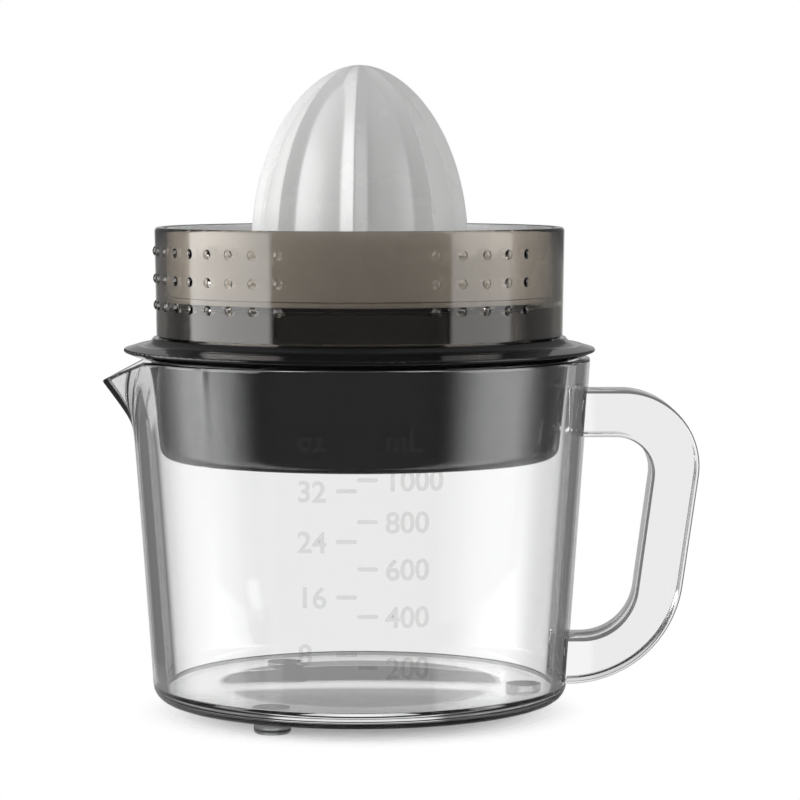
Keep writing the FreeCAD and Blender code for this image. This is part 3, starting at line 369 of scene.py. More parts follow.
def clear_plastic(tint):
    """Polished clear plastic with faint moulding flow, a little denser in the solid handle."""
    shade = new_shade("clear_plastic")
    flow = shade.noise(26.0, detail=2.0, stretch=(1.0, 1.0, 0.25))
    solid = (shade.axes()[0] - AXIS_X).ramp(*HANDLE_TINT)
    return shade.surface("BsdfPrincipled", {
        "Base Color": shade.mix(solid, tinted(tint), tinted(tint, 0.92)),
        "Roughness": flow.ramp(0.55, 0.75, low=0.0, high=0.02), "IOR": 1.47,
        "Transmission Weight": 1.0, "Normal": shade.bump(flow, strength=0.05, distance=0.6 * MM)})


def smoked_plastic(tint):
    """Polished smoke-tinted plastic, denser where it is looked through at a slant."""
    shade = new_shade("smoked_plastic")
    cloud = shade.noise(60.0)
    slant = shade.value(shade.node("LayerWeight", {"Blend": 0.5}), "Facing")
    dense = slant.ramp(0.3, 0.75) + cloud * 0.1
    return shade.surface("BsdfPrincipled", {
        "Base Color": shade.mix(dense, tinted(tint), tinted(tint, 0.35)),
        "Roughness": cloud.ramp(0.3, 0.8, low=0.03, high=0.07), "IOR": 1.5,
        "Transmission Weight": 1.0, "Coat Weight": 0.25, "Coat Roughness": 0.03})


def soft_clear(tint):
    """Soft clear rubber, a little cloudy."""
    shade = new_shade("foot_rubber")
    cloud = shade.noise(400.0)
    return shade.surface("BsdfPrincipled", {
        "Base Color": shade.mix(cloud, tinted(tint, 0.96), tinted(tint, 1.04)), "IOR": 1.43,
        "Roughness": cloud.ramp(0.3, 0.8, low=0.1, high=0.25), "Transmission Weight": 0.9})


def frosted_relief(tone):
    """Frosted marks through which the jug's wall still shows."""
    shade = new_shade("frosted_relief")
    grain = shade.noise(1800.0)
    return shade.surface("BsdfPrincipled", {
        "Base Color": shade.mix(grain, tinted(tone, 0.9), tinted(tone, 1.1)),
        "Roughness": grain.ramp(0.2, 0.8, low=0.4, high=0.6),
        "Alpha": grain.ramp(0.0, 1.0, low=0.07, high=0.11)})


def moulded(name, tone, rough, spread=0.05, coat=0.0, grain=900.0, relief=0.03):
    """Moulded plastic or rubber with a fine grain and a little unevenness."""
    shade = new_shade(name)
    cloud = shade.noise(45.0)
    fine = shade.noise(grain, detail=2.0)
    return shade.surface("BsdfPrincipled", {
        "Base Color": shade.mix(cloud, tinted(tone, 1.0 - spread), tinted(tone, 1.0 + spread)),
        "Roughness": cloud.ramp(0.3, 0.75, low=rough * 0.85, high=rough * 1.2),
        "Coat Weight": coat, "Coat Roughness": rough * 0.5,
        "Normal": shade.bump(fine, strength=relief, distance=GRAIN_DEPTH)})


def metal(name, tone, rough, stretch, grain=500.0, relief=0.08):
    """Metal whose grain runs along the axis with the smallest stretch."""
    shade = new_shade(name)
    grain_lines = shade.noise(grain, detail=4.0, stretch=stretch)
    cloud = shade.noise(70.0)
    return shade.surface("BsdfPrincipled", {
        "Base Color": shade.mix(grain_lines, tinted(tone, 0.82), tinted(tone, 1.12)), "Metallic": 1.0,
        "Roughness": cloud.ramp(0.3, 0.7, low=rough * 0.8, high=rough * 1.25),
        "Normal": shade.bump(grain_lines, strength=relief, distance=GRAIN_DEPTH)})


def layered(name, tone, rough, pitch, axis):
    """Metal built of fine layers or turns, one pitch apart along an axis."""
    shade = new_shade(name)
    along = shade.axes()["XYZ".index(axis)]
    wave = (along * (FULL_TURN / pitch)).maths("SINE")
    layer = wave.ramp(-1.0, 0.2)
    cloud = shade.noise(240.0)
    return shade.surface("BsdfPrincipled", {
        "Base Color": shade.mix(layer * (cloud * 0.4 + 0.8), tinted(tone, 0.35), tinted(tone, 1.15)),
        "Metallic": 1.0, "Roughness": cloud.ramp(0.3, 0.7, low=rough * 0.8, high=rough * 1.2),
        "Normal": shade.bump(layer, strength=0.5, distance=pitch / 4)})


def finish_materials(finish):
    """Materials of all slots of the frame, each under its slot's name."""
    even, drawn, rolled = (1.0, 1.0, 1.0), (1.0, 1.0, 0.06), (0.08, 1.0, 1.0)
    return (
        clear_plastic(finish.clear),
        smoked_plastic(finish.smoke),
        moulded("white_plastic", finish.white, rough=0.26, spread=0.02),
        moulded("black_plastic", finish.black, rough=0.11, spread=0.2, coat=0.1),
        moulded("gear_plastic", finish.gear, rough=0.42),
        moulded("bobbin_plastic", finish.bobbin, rough=0.4, spread=0.15),
        moulded("switch_plastic", finish.switch, rough=0.38, spread=0.15),
        moulded("button_plastic", finish.button, rough=0.35),
        soft_clear(finish.foot),
        moulded("black_rubber", finish.rubber, rough=0.65, spread=0.15, grain=1500.0, relief=0.1),
        metal("steel", finish.steel, rough=0.22, stretch=drawn),
        metal("plate_steel", finish.plate, rough=0.34, stretch=rolled),
        layered("core_steel", finish.core, rough=0.42, pitch=0.5 * MM, axis="Z"),
        layered("copper", finish.copper, rough=0.3, pitch=0.45 * MM, axis="Y"),
        metal("bronze", finish.bronze, rough=0.4, stretch=even, grain=1600.0, relief=0.2),
        metal("magnet", finish.magnet, rough=0.5, stretch=even, grain=1200.0, relief=0.15),
    )


def slot_material(slot):
    """Material of a slot, made with all the others on first use."""
    if slot not in bpy.data.materials or not bpy.data.materials[slot].get("dressed"):
        for imported in list(bpy.data.materials):
            imported.name = "frame_" + imported.name
        for material in finish_materials(bpy.context.scene.juicer.finish):
            material["dressed"] = True
    return bpy.data.materials[slot]


# Meshes and pieces

def spot_at(radius, turn, z):
    """Point at a radius, plan angle and height from the juicer's axis."""
    return Vector((AXIS_X + radius * math.cos(turn), radius * math.sin(turn), z))


def arc(x, z, radius, start, end, steps=ROUND_STEPS):
    """Points of an arc between two angles around a centre."""
    turns = [start + (end - start) * step / steps for step in range(steps + 1)]
    return [Vector((x + radius * math.cos(turn), z + radius * math.sin(turn))) for turn in turns]


def scene_object(name, data):
    """New object in the scene."""
    made = bpy.data.objects.new(name, data)
    bpy.context.scene.collection.objects.link(made)
    return made


def crease(mesh_data, limit):
    """Smooth shading with sharp edges where faces meet at more than a limit, in degrees."""
    for face in mesh_data.faces:
        face.smooth = True
    for edge in mesh_data.edges:
        edge.smooth = edge.calc_face_angle(0.0) < math.radians(limit)


def new_object(name, mesh_data, limit=CREASE):
    """Object from a finished bmesh, which is used up."""
    crease(mesh_data, limit)
    mesh = bpy.data.meshes.new(name)
    mesh_data.to_mesh(mesh)
    mesh_data.free()
    return scene_object(name, mesh)


def add_rings(mesh_data, rows, closed=False):
    """Faces between rings of points; a ring of one point is a pole."""
    rings = [[mesh_data.verts.new(point) for point in row] for row in rows]
    pairs = list(zip(rings, rings[1:]))
    if closed:
        pairs.append((rings[-1], rings[0]))
    for first, second in pairs:
        count = max(len(first), len(second))
        for i in range(count):
            j = (i + 1) % count
            if len(first) == 1:
                corners = (first[0], second[j], second[i])
            elif len(second) == 1:
                corners = (first[i], first[j], second[0])
            else:
                corners = (first[i], first[j], second[j], second[i])
            mesh_data.faces.new(corners)


def rings_object(name, rows, limit=CREASE, closed=False):
    """Object from rings of points."""
    mesh_data = bmesh.new()
    add_rings(mesh_data, rows, closed)
    bmesh.ops.recalc_face_normals(mesh_data, faces=mesh_data.faces)
    return new_object(name, mesh_data, limit)


def joined(base, other, limit=CREASE):
    """Base grown together with another closed object, which is used up."""
    modifier = base.modifiers.new("join", "BOOLEAN")
    modifier.operation = "UNION"
    modifier.solver = "EXACT"
    modifier.object = other
    grown = base.evaluated_get(bpy.context.evaluated_depsgraph_get())
    mesh_data = bmesh.new()
    mesh_data.from_mesh(bpy.data.meshes.new_from_object(grown))
    base.modifiers.clear()
    bpy.data.objects.remove(other)
    bmesh.ops.remove_doubles(mesh_data, verts=mesh_data.verts, dist=WELD)
    crease(mesh_data, limit)
    mesh_data.to_mesh(base.data)
    mesh_data.free()
    return base


def finish_mesh(mesh, slot):
    """Give a mesh the material of a slot."""
    mesh.materials.clear()
    mesh.materials.append(slot_material(slot))


def dress(piece, body, slot, *nodes):
    """Give a piece its material, and let it ride on a body in place of frame nodes."""
    finish_mesh(piece.data, slot)
    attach(piece, body)
    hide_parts(*nodes)


# Jug

JUG_COLUMNS = 320
JUG_CROWDING = 0.6  # how much closer together the columns are at the spout
WALL_ROWS = 60
WALL_CROWDING = 1.5
BASE_STEPS = 24
RIM_PASSES = 20
BEAK_LIMIT = 0.9  # share of the spout's slant up to which its wedge is worked out
HANDLE_STEP = 1.5 * MM
ROOT_EXTRA = 0.5 * MM  # the lower root goes deeper, because the wall narrows downwards
FLAT_BORDER = 0.2 * MM  # strip of faces around the handle's flat sides, which keeps their shading even


def jug_wall(jug, z):
    """Outer radius of the jug's plain wall at a height."""
    part = (z - jug.base_z) / (jug.rim_z - jug.base_z)
    return jug.base_radius + part * (jug.rim_radius - jug.base_radius)


def beak_radius(jug, turn, z, inset):
    """Radius of the spout's wedge with a rounded keel, at an angle from the spout's middle."""
    slant = math.tan(jug.spout_angle)
    reach = jug.spout_reach + jug.spout_slope * (z - jug.spout_tip_z) - inset
    nose = jug.spout_nose * slant
    if math.cos(turn) <= 0.0 or abs(math.tan(turn)) > BEAK_LIMIT * slant:
        return 0.0
    square = math.sin(turn) ** 2 - (slant * math.cos(turn)) ** 2
    linear = 2 * slant ** 2 * reach * math.cos(turn)
    constant = nose ** 2 - (slant * reach) ** 2
    return (math.sqrt(linear ** 2 - 4 * square * constant) - linear) / (2 * square)


def soft_max(first, second, blend):
    """Greater of two lengths, with a soft change-over."""
    return (first + second + math.sqrt((first - second) ** 2 + blend ** 2)) / 2


def jug_radius(jug, turn, z, inner):
    """Radius of the jug's outer or inner surface, spout included."""
    wall = jug_wall(jug, z) - (jug.wall if inner else 0.0)
    return soft_max(wall, beak_radius(jug, turn, z, jug.spout_wall if inner else 0.0), jug.spout_blend)


def rim_point(jug, turn, inner):
    """Radius and height at which a surface of the jug meets the rim, which dips along the spout."""
    drop = (jug.rim_z - jug.spout_tip_z) / (jug.spout_reach - jug.spout_dip)
    z = jug.rim_z
    for _ in range(RIM_PASSES):
        along = jug_radius(jug, turn, z, inner) * math.cos(turn)
        z = jug.rim_z - drop * max(0.0, along - jug.spout_dip)
    return Vector((jug_radius(jug, turn, z, inner), z))


def base_dome(jug, out):
    """Height of the shallow hollow under the base, at a distance from the axis."""
    return jug.dome * max(0.0, 1.0 - (out / jug.dome_radius) ** 2)


def corner_points(jug, turn, inner):
    """Rounded corner between base and wall, or floor and wall, as points of a section."""
    low = jug.base_z + (jug.floor if inner else 0.0)
    radius = jug.floor_round if inner else jug.base_round
    taper = math.atan((jug.rim_radius - jug.base_radius) / (jug.rim_z - jug.base_z))
    middle = jug_radius(jug, turn, low + radius, inner) - radius / math.cos(taper)
    points = []
    for step in range(1, BASE_STEPS):
        out = middle * step / BASE_STEPS
        points.append(Vector((out, low if inner else low + base_dome(jug, out))))
    return points + arc(middle, low + radius, radius, -math.pi / 2, -taper)


def wall_points(jug, turn, inner, start_z):
    """Wall from a height up to just under the rim, with its points closer together towards the rim."""
    end_z = rim_point(jug, turn, inner).y - jug.rim_round
    points = []
    for row in range(1, WALL_ROWS + 1):
        z = start_z + (end_z - start_z) * (1.0 - (1.0 - row / WALL_ROWS) ** WALL_CROWDING)
        points.append(Vector((jug_radius(jug, turn, z, inner), z)))
    return points


def jug_section(jug, turn):
    """Half-section of the jug at an angle from the spout, from under the base over the rim to the floor."""
    sides = []
    for inner in (False, True):
        corner = corner_points(jug, turn, inner)
        sides.append(corner + wall_points(jug, turn, inner, corner[-1].y))
    outer_edge, inner_edge = rim_point(jug, turn, False), rim_point(jug, turn, True)
    across = (inner_edge - outer_edge).normalized() * jug.rim_round
    flat = [outer_edge + across, inner_edge - across]
    bends = [(sides[0][-1] + 2 * outer_edge + flat[0]) / 4, (sides[1][-1] + 2 * inner_edge + flat[1]) / 4]
    return sides[0] + [bends[0]] + flat + [bends[1]] + sides[1][::-1]


def jug_body(jug):
    """Jug with floor and spout, without its handle."""
    steps = [FULL_TURN * i / JUG_COLUMNS for i in range(JUG_COLUMNS)]
    turns = [step - JUG_CROWDING * math.sin(step) for step in steps]
    sections = [jug_section(jug, turn) for turn in turns]
    rows = [[spot_at(0.0, 0.0, jug.base_z + jug.dome)]]
    for level in zip(*sections):
        rows.append([spot_at(point.x, math.pi + turn, point.y) for point, turn in zip(level, turns)])
    rows.append([spot_at(0.0, 0.0, jug.base_z + jug.floor)])
    return rings_object("jug_clear", rows)


def rounded_outline(corners, step):
    """Points of a closed outline whose corners are (x, z, radius), with arcs in steps of a length."""
    points = []
    for i, (x, z, radius) in enumerate(corners):
        here = Vector((x, z))
        if radius == 0.0:
            points.append(here)
            continue
        before = (Vector(corners[i - 1][:2]) - here).normalized()
        after = (Vector(corners[(i + 1) % len(corners)][:2]) - here).normalized()
        half = before.angle(after) / 2
        centre = here + (before + after).normalized() * (radius / math.sin(half))
        start = here + before * (radius / math.tan(half)) - centre
        end = here + after * (radius / math.tan(half)) - centre
        turn, sweep = math.atan2(start.y, start.x), start.angle_signed(end)
        count = max(ROUND_STEPS, round(abs(sweep) * radius / step))
        points += arc(centre.x, centre.y, radius, turn, turn - sweep, count)
    return points


def jug_handle(jug):
    """Flat-sided loop handle whose roots end inside the jug's wall."""
    top_root = jug_wall(jug, jug.handle_top_under) - jug.wall / 2
    low_root = jug_wall(jug, jug.handle_low_top) - jug.wall / 2 - ROOT_EXTRA
    corners = [
        (top_root, jug.handle_top, 0.0), (jug.handle_out, jug.handle_top, jug.out_round),
        (jug.handle_out_low, jug.handle_low, jug.out_round_low), (low_root, jug.handle_low, 0.0),
        (low_root, jug.handle_low_top, 0.0), (jug.handle_in_low, jug.handle_low_top, jug.in_round_low),
        (jug.handle_in, jug.handle_top_under, jug.in_round), (top_root, jug.handle_top_under, 0.0),
    ]
    half = jug.handle_width / 2
    mesh_data = bmesh.new()
    outline = rounded_outline(corners, HANDLE_STEP)
    front = mesh_data.faces.new([mesh_data.verts.new((AXIS_X + spot.x, -half, spot.y)) for spot in outline])
    pushed = bmesh.ops.extrude_face_region(mesh_data, geom=[front])
    back = [item for item in pushed["geom"] if isinstance(item, bmesh.types.BMVert)]
    bmesh.ops.translate(mesh_data, verts=back, vec=(0.0, jug.handle_width, 0.0))
    long_edges = [edge for edge in mesh_data.edges if abs(edge.verts[0].co.y - edge.verts[1].co.y) < MM]
    bmesh.ops.bevel(
        mesh_data, geom=long_edges, offset=jug.handle_edge, segments=ROUND_STEPS, profile=0.5, affect="EDGES")
    flats = [face for face in mesh_data.faces if len(face.verts) > len(corners)]
    bmesh.ops.inset_individual(mesh_data, faces=flats, thickness=FLAT_BORDER)
    bmesh.ops.recalc_face_normals(mesh_data, faces=mesh_data.faces)
    return new_object("handle_part", mesh_data)


class JUICER_OT_jug(bpy.types.Operator):
    """Make the clear jug with spout and handle"""
    bl_idname = "juicer.jug"
    bl_label = "Jug"

    def execute(self, context):
        jug = context.scene.juicer.jug
        piece = joined(jug_body(jug), jug_handle(jug))
        dress(piece, "jug_body", "clear_plastic", "jug", "handle")
        return {"FINISHED"}


# Measuring scale

# Amounts and the heights of their marks
MILLILITRE_MARKS = ((200, 0.0245), (400, 0.0408), (600, 0.0559), (800, 0.0709), (1000, 0.0841))
OUNCE_MARKS = ((8, 0.0287), (16, 0.0470), (24, 0.0646), (32, 0.0806))
HALF_DEPTH = 0.5  # of the flat marks, before they are bent onto the wall
TICK_STEPS = 8


def add_figure(mesh_data, text, scale, across, z):
    """Figure as a flat solid with its left end at a place: x across the front, y up, z out of the wall."""
    line = bpy.data.curves.new("figure", "FONT")
    line.body = text
    line.size = scale.figure
    line.align_y = "CENTER"
    line.extrude = HALF_DEPTH
    line.offset = scale.bold
    carrier = scene_object("figure", line)
    flat = bpy.data.meshes.new_from_object(carrier.evaluated_get(bpy.context.evaluated_depsgraph_get()))
    flat.transform(Matrix.Translation((across, z, 0.0)))
    mesh_data.from_mesh(flat)
    bpy.data.objects.remove(carrier)
    bpy.data.curves.remove(line)
    bpy.data.meshes.remove(flat)


def add_tick(mesh_data, scale, start, z):
    """Bar with round ends as a flat solid."""
    half = scale.tick_width / 2
    points = arc(start + scale.tick_length - half, z, half, -math.pi / 2, math.pi / 2, TICK_STEPS)
    points += arc(start + half, z, half, math.pi / 2, 3 * math.pi / 2, TICK_STEPS)
    rows = [[Vector((x, y, depth)) for x, y in points] for depth in (-HALF_DEPTH, HALF_DEPTH)]
    add_rings(mesh_data, rows)
    mesh_data.verts.ensure_lookup_table()
    count = len(points)
    mesh_data.faces.new(mesh_data.verts[-count:])
    mesh_data.faces.new(mesh_data.verts[-2 * count:-count])


def wrap_on_jug(mesh_data, jug, scale):
    """Bend the flat marks around the jug's front, with their back in the wall and their face raised."""
    for vertex in mesh_data.verts:
        across, z, depth = vertex.co
        wall = jug_wall(jug, z)
        radius = wall + (scale.relief if depth > 0.0 else -scale.sunk)
        vertex.co = spot_at(radius, FRONT + across / wall, z)


class JUICER_OT_scale(bpy.types.Operator):
    """Make the measuring scale on the jug's front"""
    bl_idname = "juicer.scale"
    bl_label = "Measuring scale"

    def execute(self, context):
        jug, scale = context.scene.juicer.jug, context.scene.juicer.scale
        marks = bmesh.new()
        for amount, z in MILLILITRE_MARKS:
            add_tick(marks, scale, 0.0, z)
            add_figure(marks, str(amount), scale, scale.figure_gap, z - scale.drop)
        for amount, z in OUNCE_MARKS:
            add_tick(marks, scale, -scale.tick_length, z)
            add_figure(marks, str(amount), scale, -scale.ounce_gap, z - scale.drop)
        add_figure(marks, "mL", scale, scale.figure_gap, scale.label_z)
        add_figure(marks, "oz", scale, -scale.ounce_gap, scale.label_z)
        wrap_on_jug(marks, jug, scale)
        bmesh.ops.remove_doubles(marks, verts=marks.verts, dist=WELD)
        bmesh.ops.recalc_face_normals(marks, faces=marks.faces)
        piece = new_object("scale_marks", marks)
        piece.data.materials.append(frosted_relief(context.scene.juicer.finish.scale))
        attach(piece, "jug_body")
        return {"FINISHED"}


# Twist ring

RING_COLUMNS = 288
RING_ROWS = (12 * MM, 24 * MM)  # above the lower edge
BUMP_ROWS = (0.1356, 0.1444, 0.1534)
BUMP_SIDES = 20
BUMP_STEPS = 6
BUMP_CREASE = 35.0


def ring_radius(ring, z):
    """Outer radius of the twist ring at a height."""
    low, high = RING_BOX[0].z, RING_BOX[1].z
    return ring.low_radius + (z - low) / (high - low) * (ring.top_radius - ring.low_radius)


def ring_profile(ring):
    """Closed section of the twist ring as (radius, height)."""
    low, high = RING_BOX[0].z, RING_BOX[1].z
    edge = ring.edge
    points = [(ring.bore, low), (ring.low_radius - edge / 2, low), (ring.low_radius, low + edge / 2)]
    points += [(ring_radius(ring, low + rise), low + rise) for rise in RING_ROWS]
    points += arc(ring.top_radius - edge, high - edge, edge, 0.0, math.pi / 2)
    points += arc(ring.bore + edge, high - edge, edge, math.pi / 2, math.pi)
    points += [(ring.bore, ring.ledge_top), (ring.ledge_radius, ring.ledge_top)]
    points += [(ring.ledge_radius, ring.ledge_low), (ring.bore, ring.ledge_low)]
    return points


def bump_turns(ring):
    """Plan angles of the bumps: all along the spout's side, and clear of the handle's middle."""
    spout_side = [ring.bump_start + ring.bump_step * i for i in range(ring.spout_columns)]
    handle_side = [ring.bump_start + ring.bump_step * i for i in range(ring.handle_columns)]
    turns = [FRONT - turn for turn in spout_side]
    turns += [FRONT + turn for turn in handle_side]
    return turns + [-FRONT - turn for turn in handle_side]


def add_bump(mesh_data, ring, turn, z):
    """Closed cap of a sphere, sunk into the ring's wall."""
    ball = (ring.bump_radius ** 2 + ring.bump_height ** 2) / (2 * ring.bump_height)
    widest = math.acos(1.0 - (ring.bump_height + ring.bump_root) / ball)
    surface = ring_radius(ring, z)
    side, up = Vector((-math.sin(turn), math.cos(turn), 0.0)), Vector((0.0, 0.0, 1.0))
    rows = [[spot_at(surface + ring.bump_height, turn, z)]]
    for step in range(1, BUMP_STEPS + 1):
        lean = widest * step / BUMP_STEPS
        centre = spot_at(surface + ring.bump_height - ball * (1.0 - math.cos(lean)), turn, z)
        row = []
        for k in range(BUMP_SIDES):
            spin = FULL_TURN * k / BUMP_SIDES
            row.append(centre + ball * math.sin(lean) * (side * math.cos(spin) + up * math.sin(spin)))
        rows.append(row)
    rows.append([spot_at(surface - ring.bump_root, turn, z)])
    add_rings(mesh_data, rows)


class JUICER_OT_twist_ring(bpy.types.Operator):
    """Make the smoked twist ring with its grip bumps"""
    bl_idname = "juicer.twist_ring"
    bl_label = "Twist ring"

    def execute(self, context):
        ring = context.scene.juicer.ring
        turns = [FULL_TURN * i / RING_COLUMNS for i in range(RING_COLUMNS)]
        rows = [[spot_at(radius, turn, z) for turn in turns] for radius, z in ring_profile(ring)]
        body = rings_object("twist_ring_smoked", rows, closed=True)
        bumps = bmesh.new()
        for z in BUMP_ROWS:
            for turn in bump_turns(ring):
                add_bump(bumps, ring, turn, z)
        bmesh.ops.recalc_face_normals(bumps, faces=bumps.faces)
        piece = joined(body, new_object("bump_part", bumps), BUMP_CREASE)
        dress(piece, "ring_body", "smoked_plastic", "twist_ring")
        return {"FINISHED"}


# Reamer cone

CONE_COLUMNS = 48  # for each rib
CONE_CROWDING = 0.75  # below 1, the columns are closer together at a rib's crest
DOME_ROWS = 72
HOLLOW_STEPS = 12
RIB_CREASE = 24.0


def dome_radius(radius, height, rise, bulge):
    """Radius of a dome at a height above its widest place; a bulge of 0.5 is an ellipse."""
    return radius * max(0.0, 1.0 - (rise / height) ** 2) ** bulge


def cone_ring(cone, rise):
    """Points around the cone at a height above its widest place: roof-shaped ribs over a round core."""
    crest = dome_radius(cone.radius, CONE_BOX[1].z - cone.middle_z, rise, cone.bulge)
    core = dome_radius(cone.core_radius, cone.core_height, rise, 0.5)
    points = []
    for column in range(cone.ribs * CONE_COLUMNS):
        rib, place = divmod(column, CONE_COLUMNS)
        place = 2.0 * place / CONE_COLUMNS - 1.0
        lean = math.pi / cone.ribs * math.copysign(abs(place) ** (1.0 / CONE_CROWDING), place)
        away = math.hypot(math.sin(lean), cone.rib_round / max(crest, cone.rib_round))
        roof = crest / (math.cos(lean) + cone.rib_slope * away)
        turn = cone.turn + FULL_TURN * rib / cone.ribs + lean
        points.append(spot_at(soft_max(roof, core, cone.rib_blend), turn, cone.middle_z + rise))
    return points


def hexagon_radius(flats, turn):
    """Radius of a hexagon with a corner on +X."""
    step = math.pi / 3
    return flats / 2 / math.cos(turn % step - step / 2)


def cone_rows(cone):
    """Rings of the cone from its tip down over the skirt and up inside the hollow to the socket's end."""
    top = CONE_BOX[1].z
    rows = [[spot_at(0.0, 0.0, top)]]
    for step in range(1, DOME_ROWS + 1):
        rows.append(cone_ring(cone, (top - cone.middle_z) * math.cos(math.pi / 2 * step / DOME_ROWS)))
    rows.append([Vector((point.x, point.y, cone.skirt_top)) for point in rows[-1]])
    turns = [math.atan2(point.y, point.x - AXIS_X) for point in rows[-1]]
    low, edge, crown = CONE_BOX[0].z, cone.skirt_edge, cone.crown_z
    section = [(cone.skirt_radius - edge, cone.skirt_top), (cone.skirt_radius, cone.skirt_top - edge)]
    section += [(cone.skirt_radius, low + edge), (cone.skirt_radius - edge, low), (cone.bore, low)]
    section.append((cone.bore, cone.middle_z))
    narrow = math.acos(cone.socket / cone.bore)
    for step in range(1, HOLLOW_STEPS + 1):
        lean = narrow * step / HOLLOW_STEPS
        section.append((cone.bore * math.cos(lean), cone.middle_z + (crown - cone.middle_z) * math.sin(lean)))
    section.append((cone.socket, cone.socket_low))
    rows += [[spot_at(radius, turn, z) for turn in turns] for radius, z in section]
    for z in (cone.socket_low, cone.socket_top):
        rows.append([spot_at(hexagon_radius(cone.hexagon, turn), turn, z) for turn in turns])
    rows.append([spot_at(0.0, 0.0, cone.socket_top)])
    return rows


class JUICER_OT_cone(bpy.types.Operator):
    """Make the ribbed white reamer cone"""
    bl_idname = "juicer.cone"
    bl_label = "Reamer cone"

    def execute(self, context):
        piece = rings_object("reamer_cone_white", cone_rows(context.scene.juicer.cone), RIB_CREASE)
        dress(piece, "cone", "white_plastic", "reamer_cone")
        return {"FINISHED"}


# Nodes of the frame that stay, and the spring

HOUSING_NODES = (
    "lip_ring", "spigot_ring", "upper_housing", "hub", "lower_housing", "housing_screws", "cord_gland",
    "jug_feet")
STRAINER_NODES = ("strainer", "pulp_shutter")
REPLACED_NODES = ("jug", "handle", "twist_ring", "reamer_cone", "return_spring")


def finish_nodes(nodes):
    """Give frame nodes the material of their slot."""
    for node in nodes:
        finish_mesh(frame["nodes"][node].data, SLOT_OF_NODE[node])


class JUICER_OT_housing(bpy.types.Operator):
    """Finish the motor housing and the jug's feet"""
    bl_idname = "juicer.housing"
    bl_label = "Motor housing"

    def execute(self, context):
        finish_nodes(HOUSING_NODES)
        return {"FINISHED"}


class JUICER_OT_strainer(bpy.types.Operator):
    """Finish the strainer and the pulp shutter"""
    bl_idname = "juicer.strainer"
    bl_label = "Strainer"

    def execute(self, context):
        finish_nodes(STRAINER_NODES)
        return {"FINISHED"}


class JUICER_OT_spring(bpy.types.Operator):
    """Add the return spring at its rest length, in place of the frame's spring"""
    bl_idname = "juicer.spring"
    bl_label = "Return spring"

    def execute(self, context):
        node, slot = frame["nodes"]["return_spring"], SLOT_OF_NODE["return_spring"]
        spring = scene_object("return_spring_coil", node.data.copy())
        spring.matrix_world = node.matrix_world
        finish_mesh(spring.data, slot)
        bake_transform(spring)
        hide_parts("return_spring")
        return {"FINISHED"}


class JUICER_OT_drive(bpy.types.Operator):
    """Finish the motor, gears, shaft and switch inside the housing"""
    bl_idname = "juicer.drive"
    bl_label = "Drive"

    def execute(self, context):
        outside = HOUSING_NODES + STRAINER_NODES + REPLACED_NODES
        finish_nodes([node for node in frame["nodes"] if node not in outside])
        return {"FINISHED"}


# Stage

FLOOR_RADIUS = 0.7
FLOOR_SIDES = 64
FLOOR_DROP = 0.1 * MM
# Where the floor fades out: by distance from the axis, and for clear plastic also towards the back
FADE_SEEN = (0.04, 0.078)
FADE_THROUGH = (0.035, 0.085)
FADE_MIRRORED = (0.09, 0.15)
FADE_BACK = (-0.04, 0.02)
# Side panels: start and end in degrees from the front, positive to the right, and softness at the back
LEFT_PANEL = (-108.0, -46.0, 0.1)
RIGHT_PANEL = (49.5, 95.0, 0.15)
PANEL_DISTANCE = 1.0
PANEL_LOW, PANEL_HIGH = 0.004, 0.9
PANEL_FRONT_EDGE, PANEL_TOP_EDGE = (0.0, 0.08), (1.0, 0.7)
PANEL_FOOT = (0.28, 0.17, 0.0, 0.8)  # how clear plastic sees the lower end: dimmed by up to the last number
TOP_PANEL_HALF, TOP_PANEL_Z = 0.45, 1.2
# Room in degrees: to the side of straight behind, and above the horizon; third and fourth numbers are levels
ROOM_TURN = 5.0
GLOW_BACK, GLOW_FRONT, GLOW_TOP = (60.0, 88.0), (131.0, 102.0), (2.0, -6.0)
FIELD_SIDE, FIELD_LOW, FIELD_HIGH = (17.5, 13.0), (-17.0, -13.5), (34.0, 27.0)
FIELD_UPPER = (3.0, 8.0, 1.0, 0.75)
FIELD_MIRRORED = 0.5
DIM_BACK, DIM_FRONT = (70.0, 45.0, 0.14, 0.19), (110.0, 150.0, 0.0, 0.12)
ROOM_SIDE, ROOM_TOP = (126.0, 90.0, 0.2, 1.0), (15.0, 70.0, 0.0, 0.8)


def stage_object(name, corners, material):
    """Flat stage piece from its corners."""
    mesh = bpy.data.meshes.new(name)
    mesh.from_pydata(corners, [], [tuple(range(len(corners)))])
    mesh.materials.append(material)
    made = scene_object(name, mesh)
    return made


def floor_material(stage):
    """Pale floor that keeps the shadow near the juicer and fades into the background."""
    shade = new_shade("floor_pale")
    seen, through, mirrored = shade.rays()
    x, y, _ = shade.axes()
    x = x - AXIS_X
    far = (x * x + y * y).maths("SQRT")
    tone = (stage.floor_tone,) * 3
    colours = shade.mix(shade.noise(700.0), tinted(tone, 0.99), tinted(tone, 1.01))
    lift = shade.node("Emission", {"Color": shade.grey(seen * stage.floor_lift)})
    matt = shade.node("BsdfDiffuse", {"Color": colours})
    both = shade.node("AddShader", {0: shade.value(lift), 1: shade.value(matt)})
    back = y.ramp(*FADE_BACK).over(far.ramp(*FADE_THROUGH))
    fade = far.ramp(*FADE_SEEN) * seen + back * through + far.ramp(*FADE_MIRRORED) * mirrored
    gone = shade.node("BsdfTransparent")
    return shade.surface("MixShader", {0: fade, 1: shade.value(both), 2: shade.value(gone)})


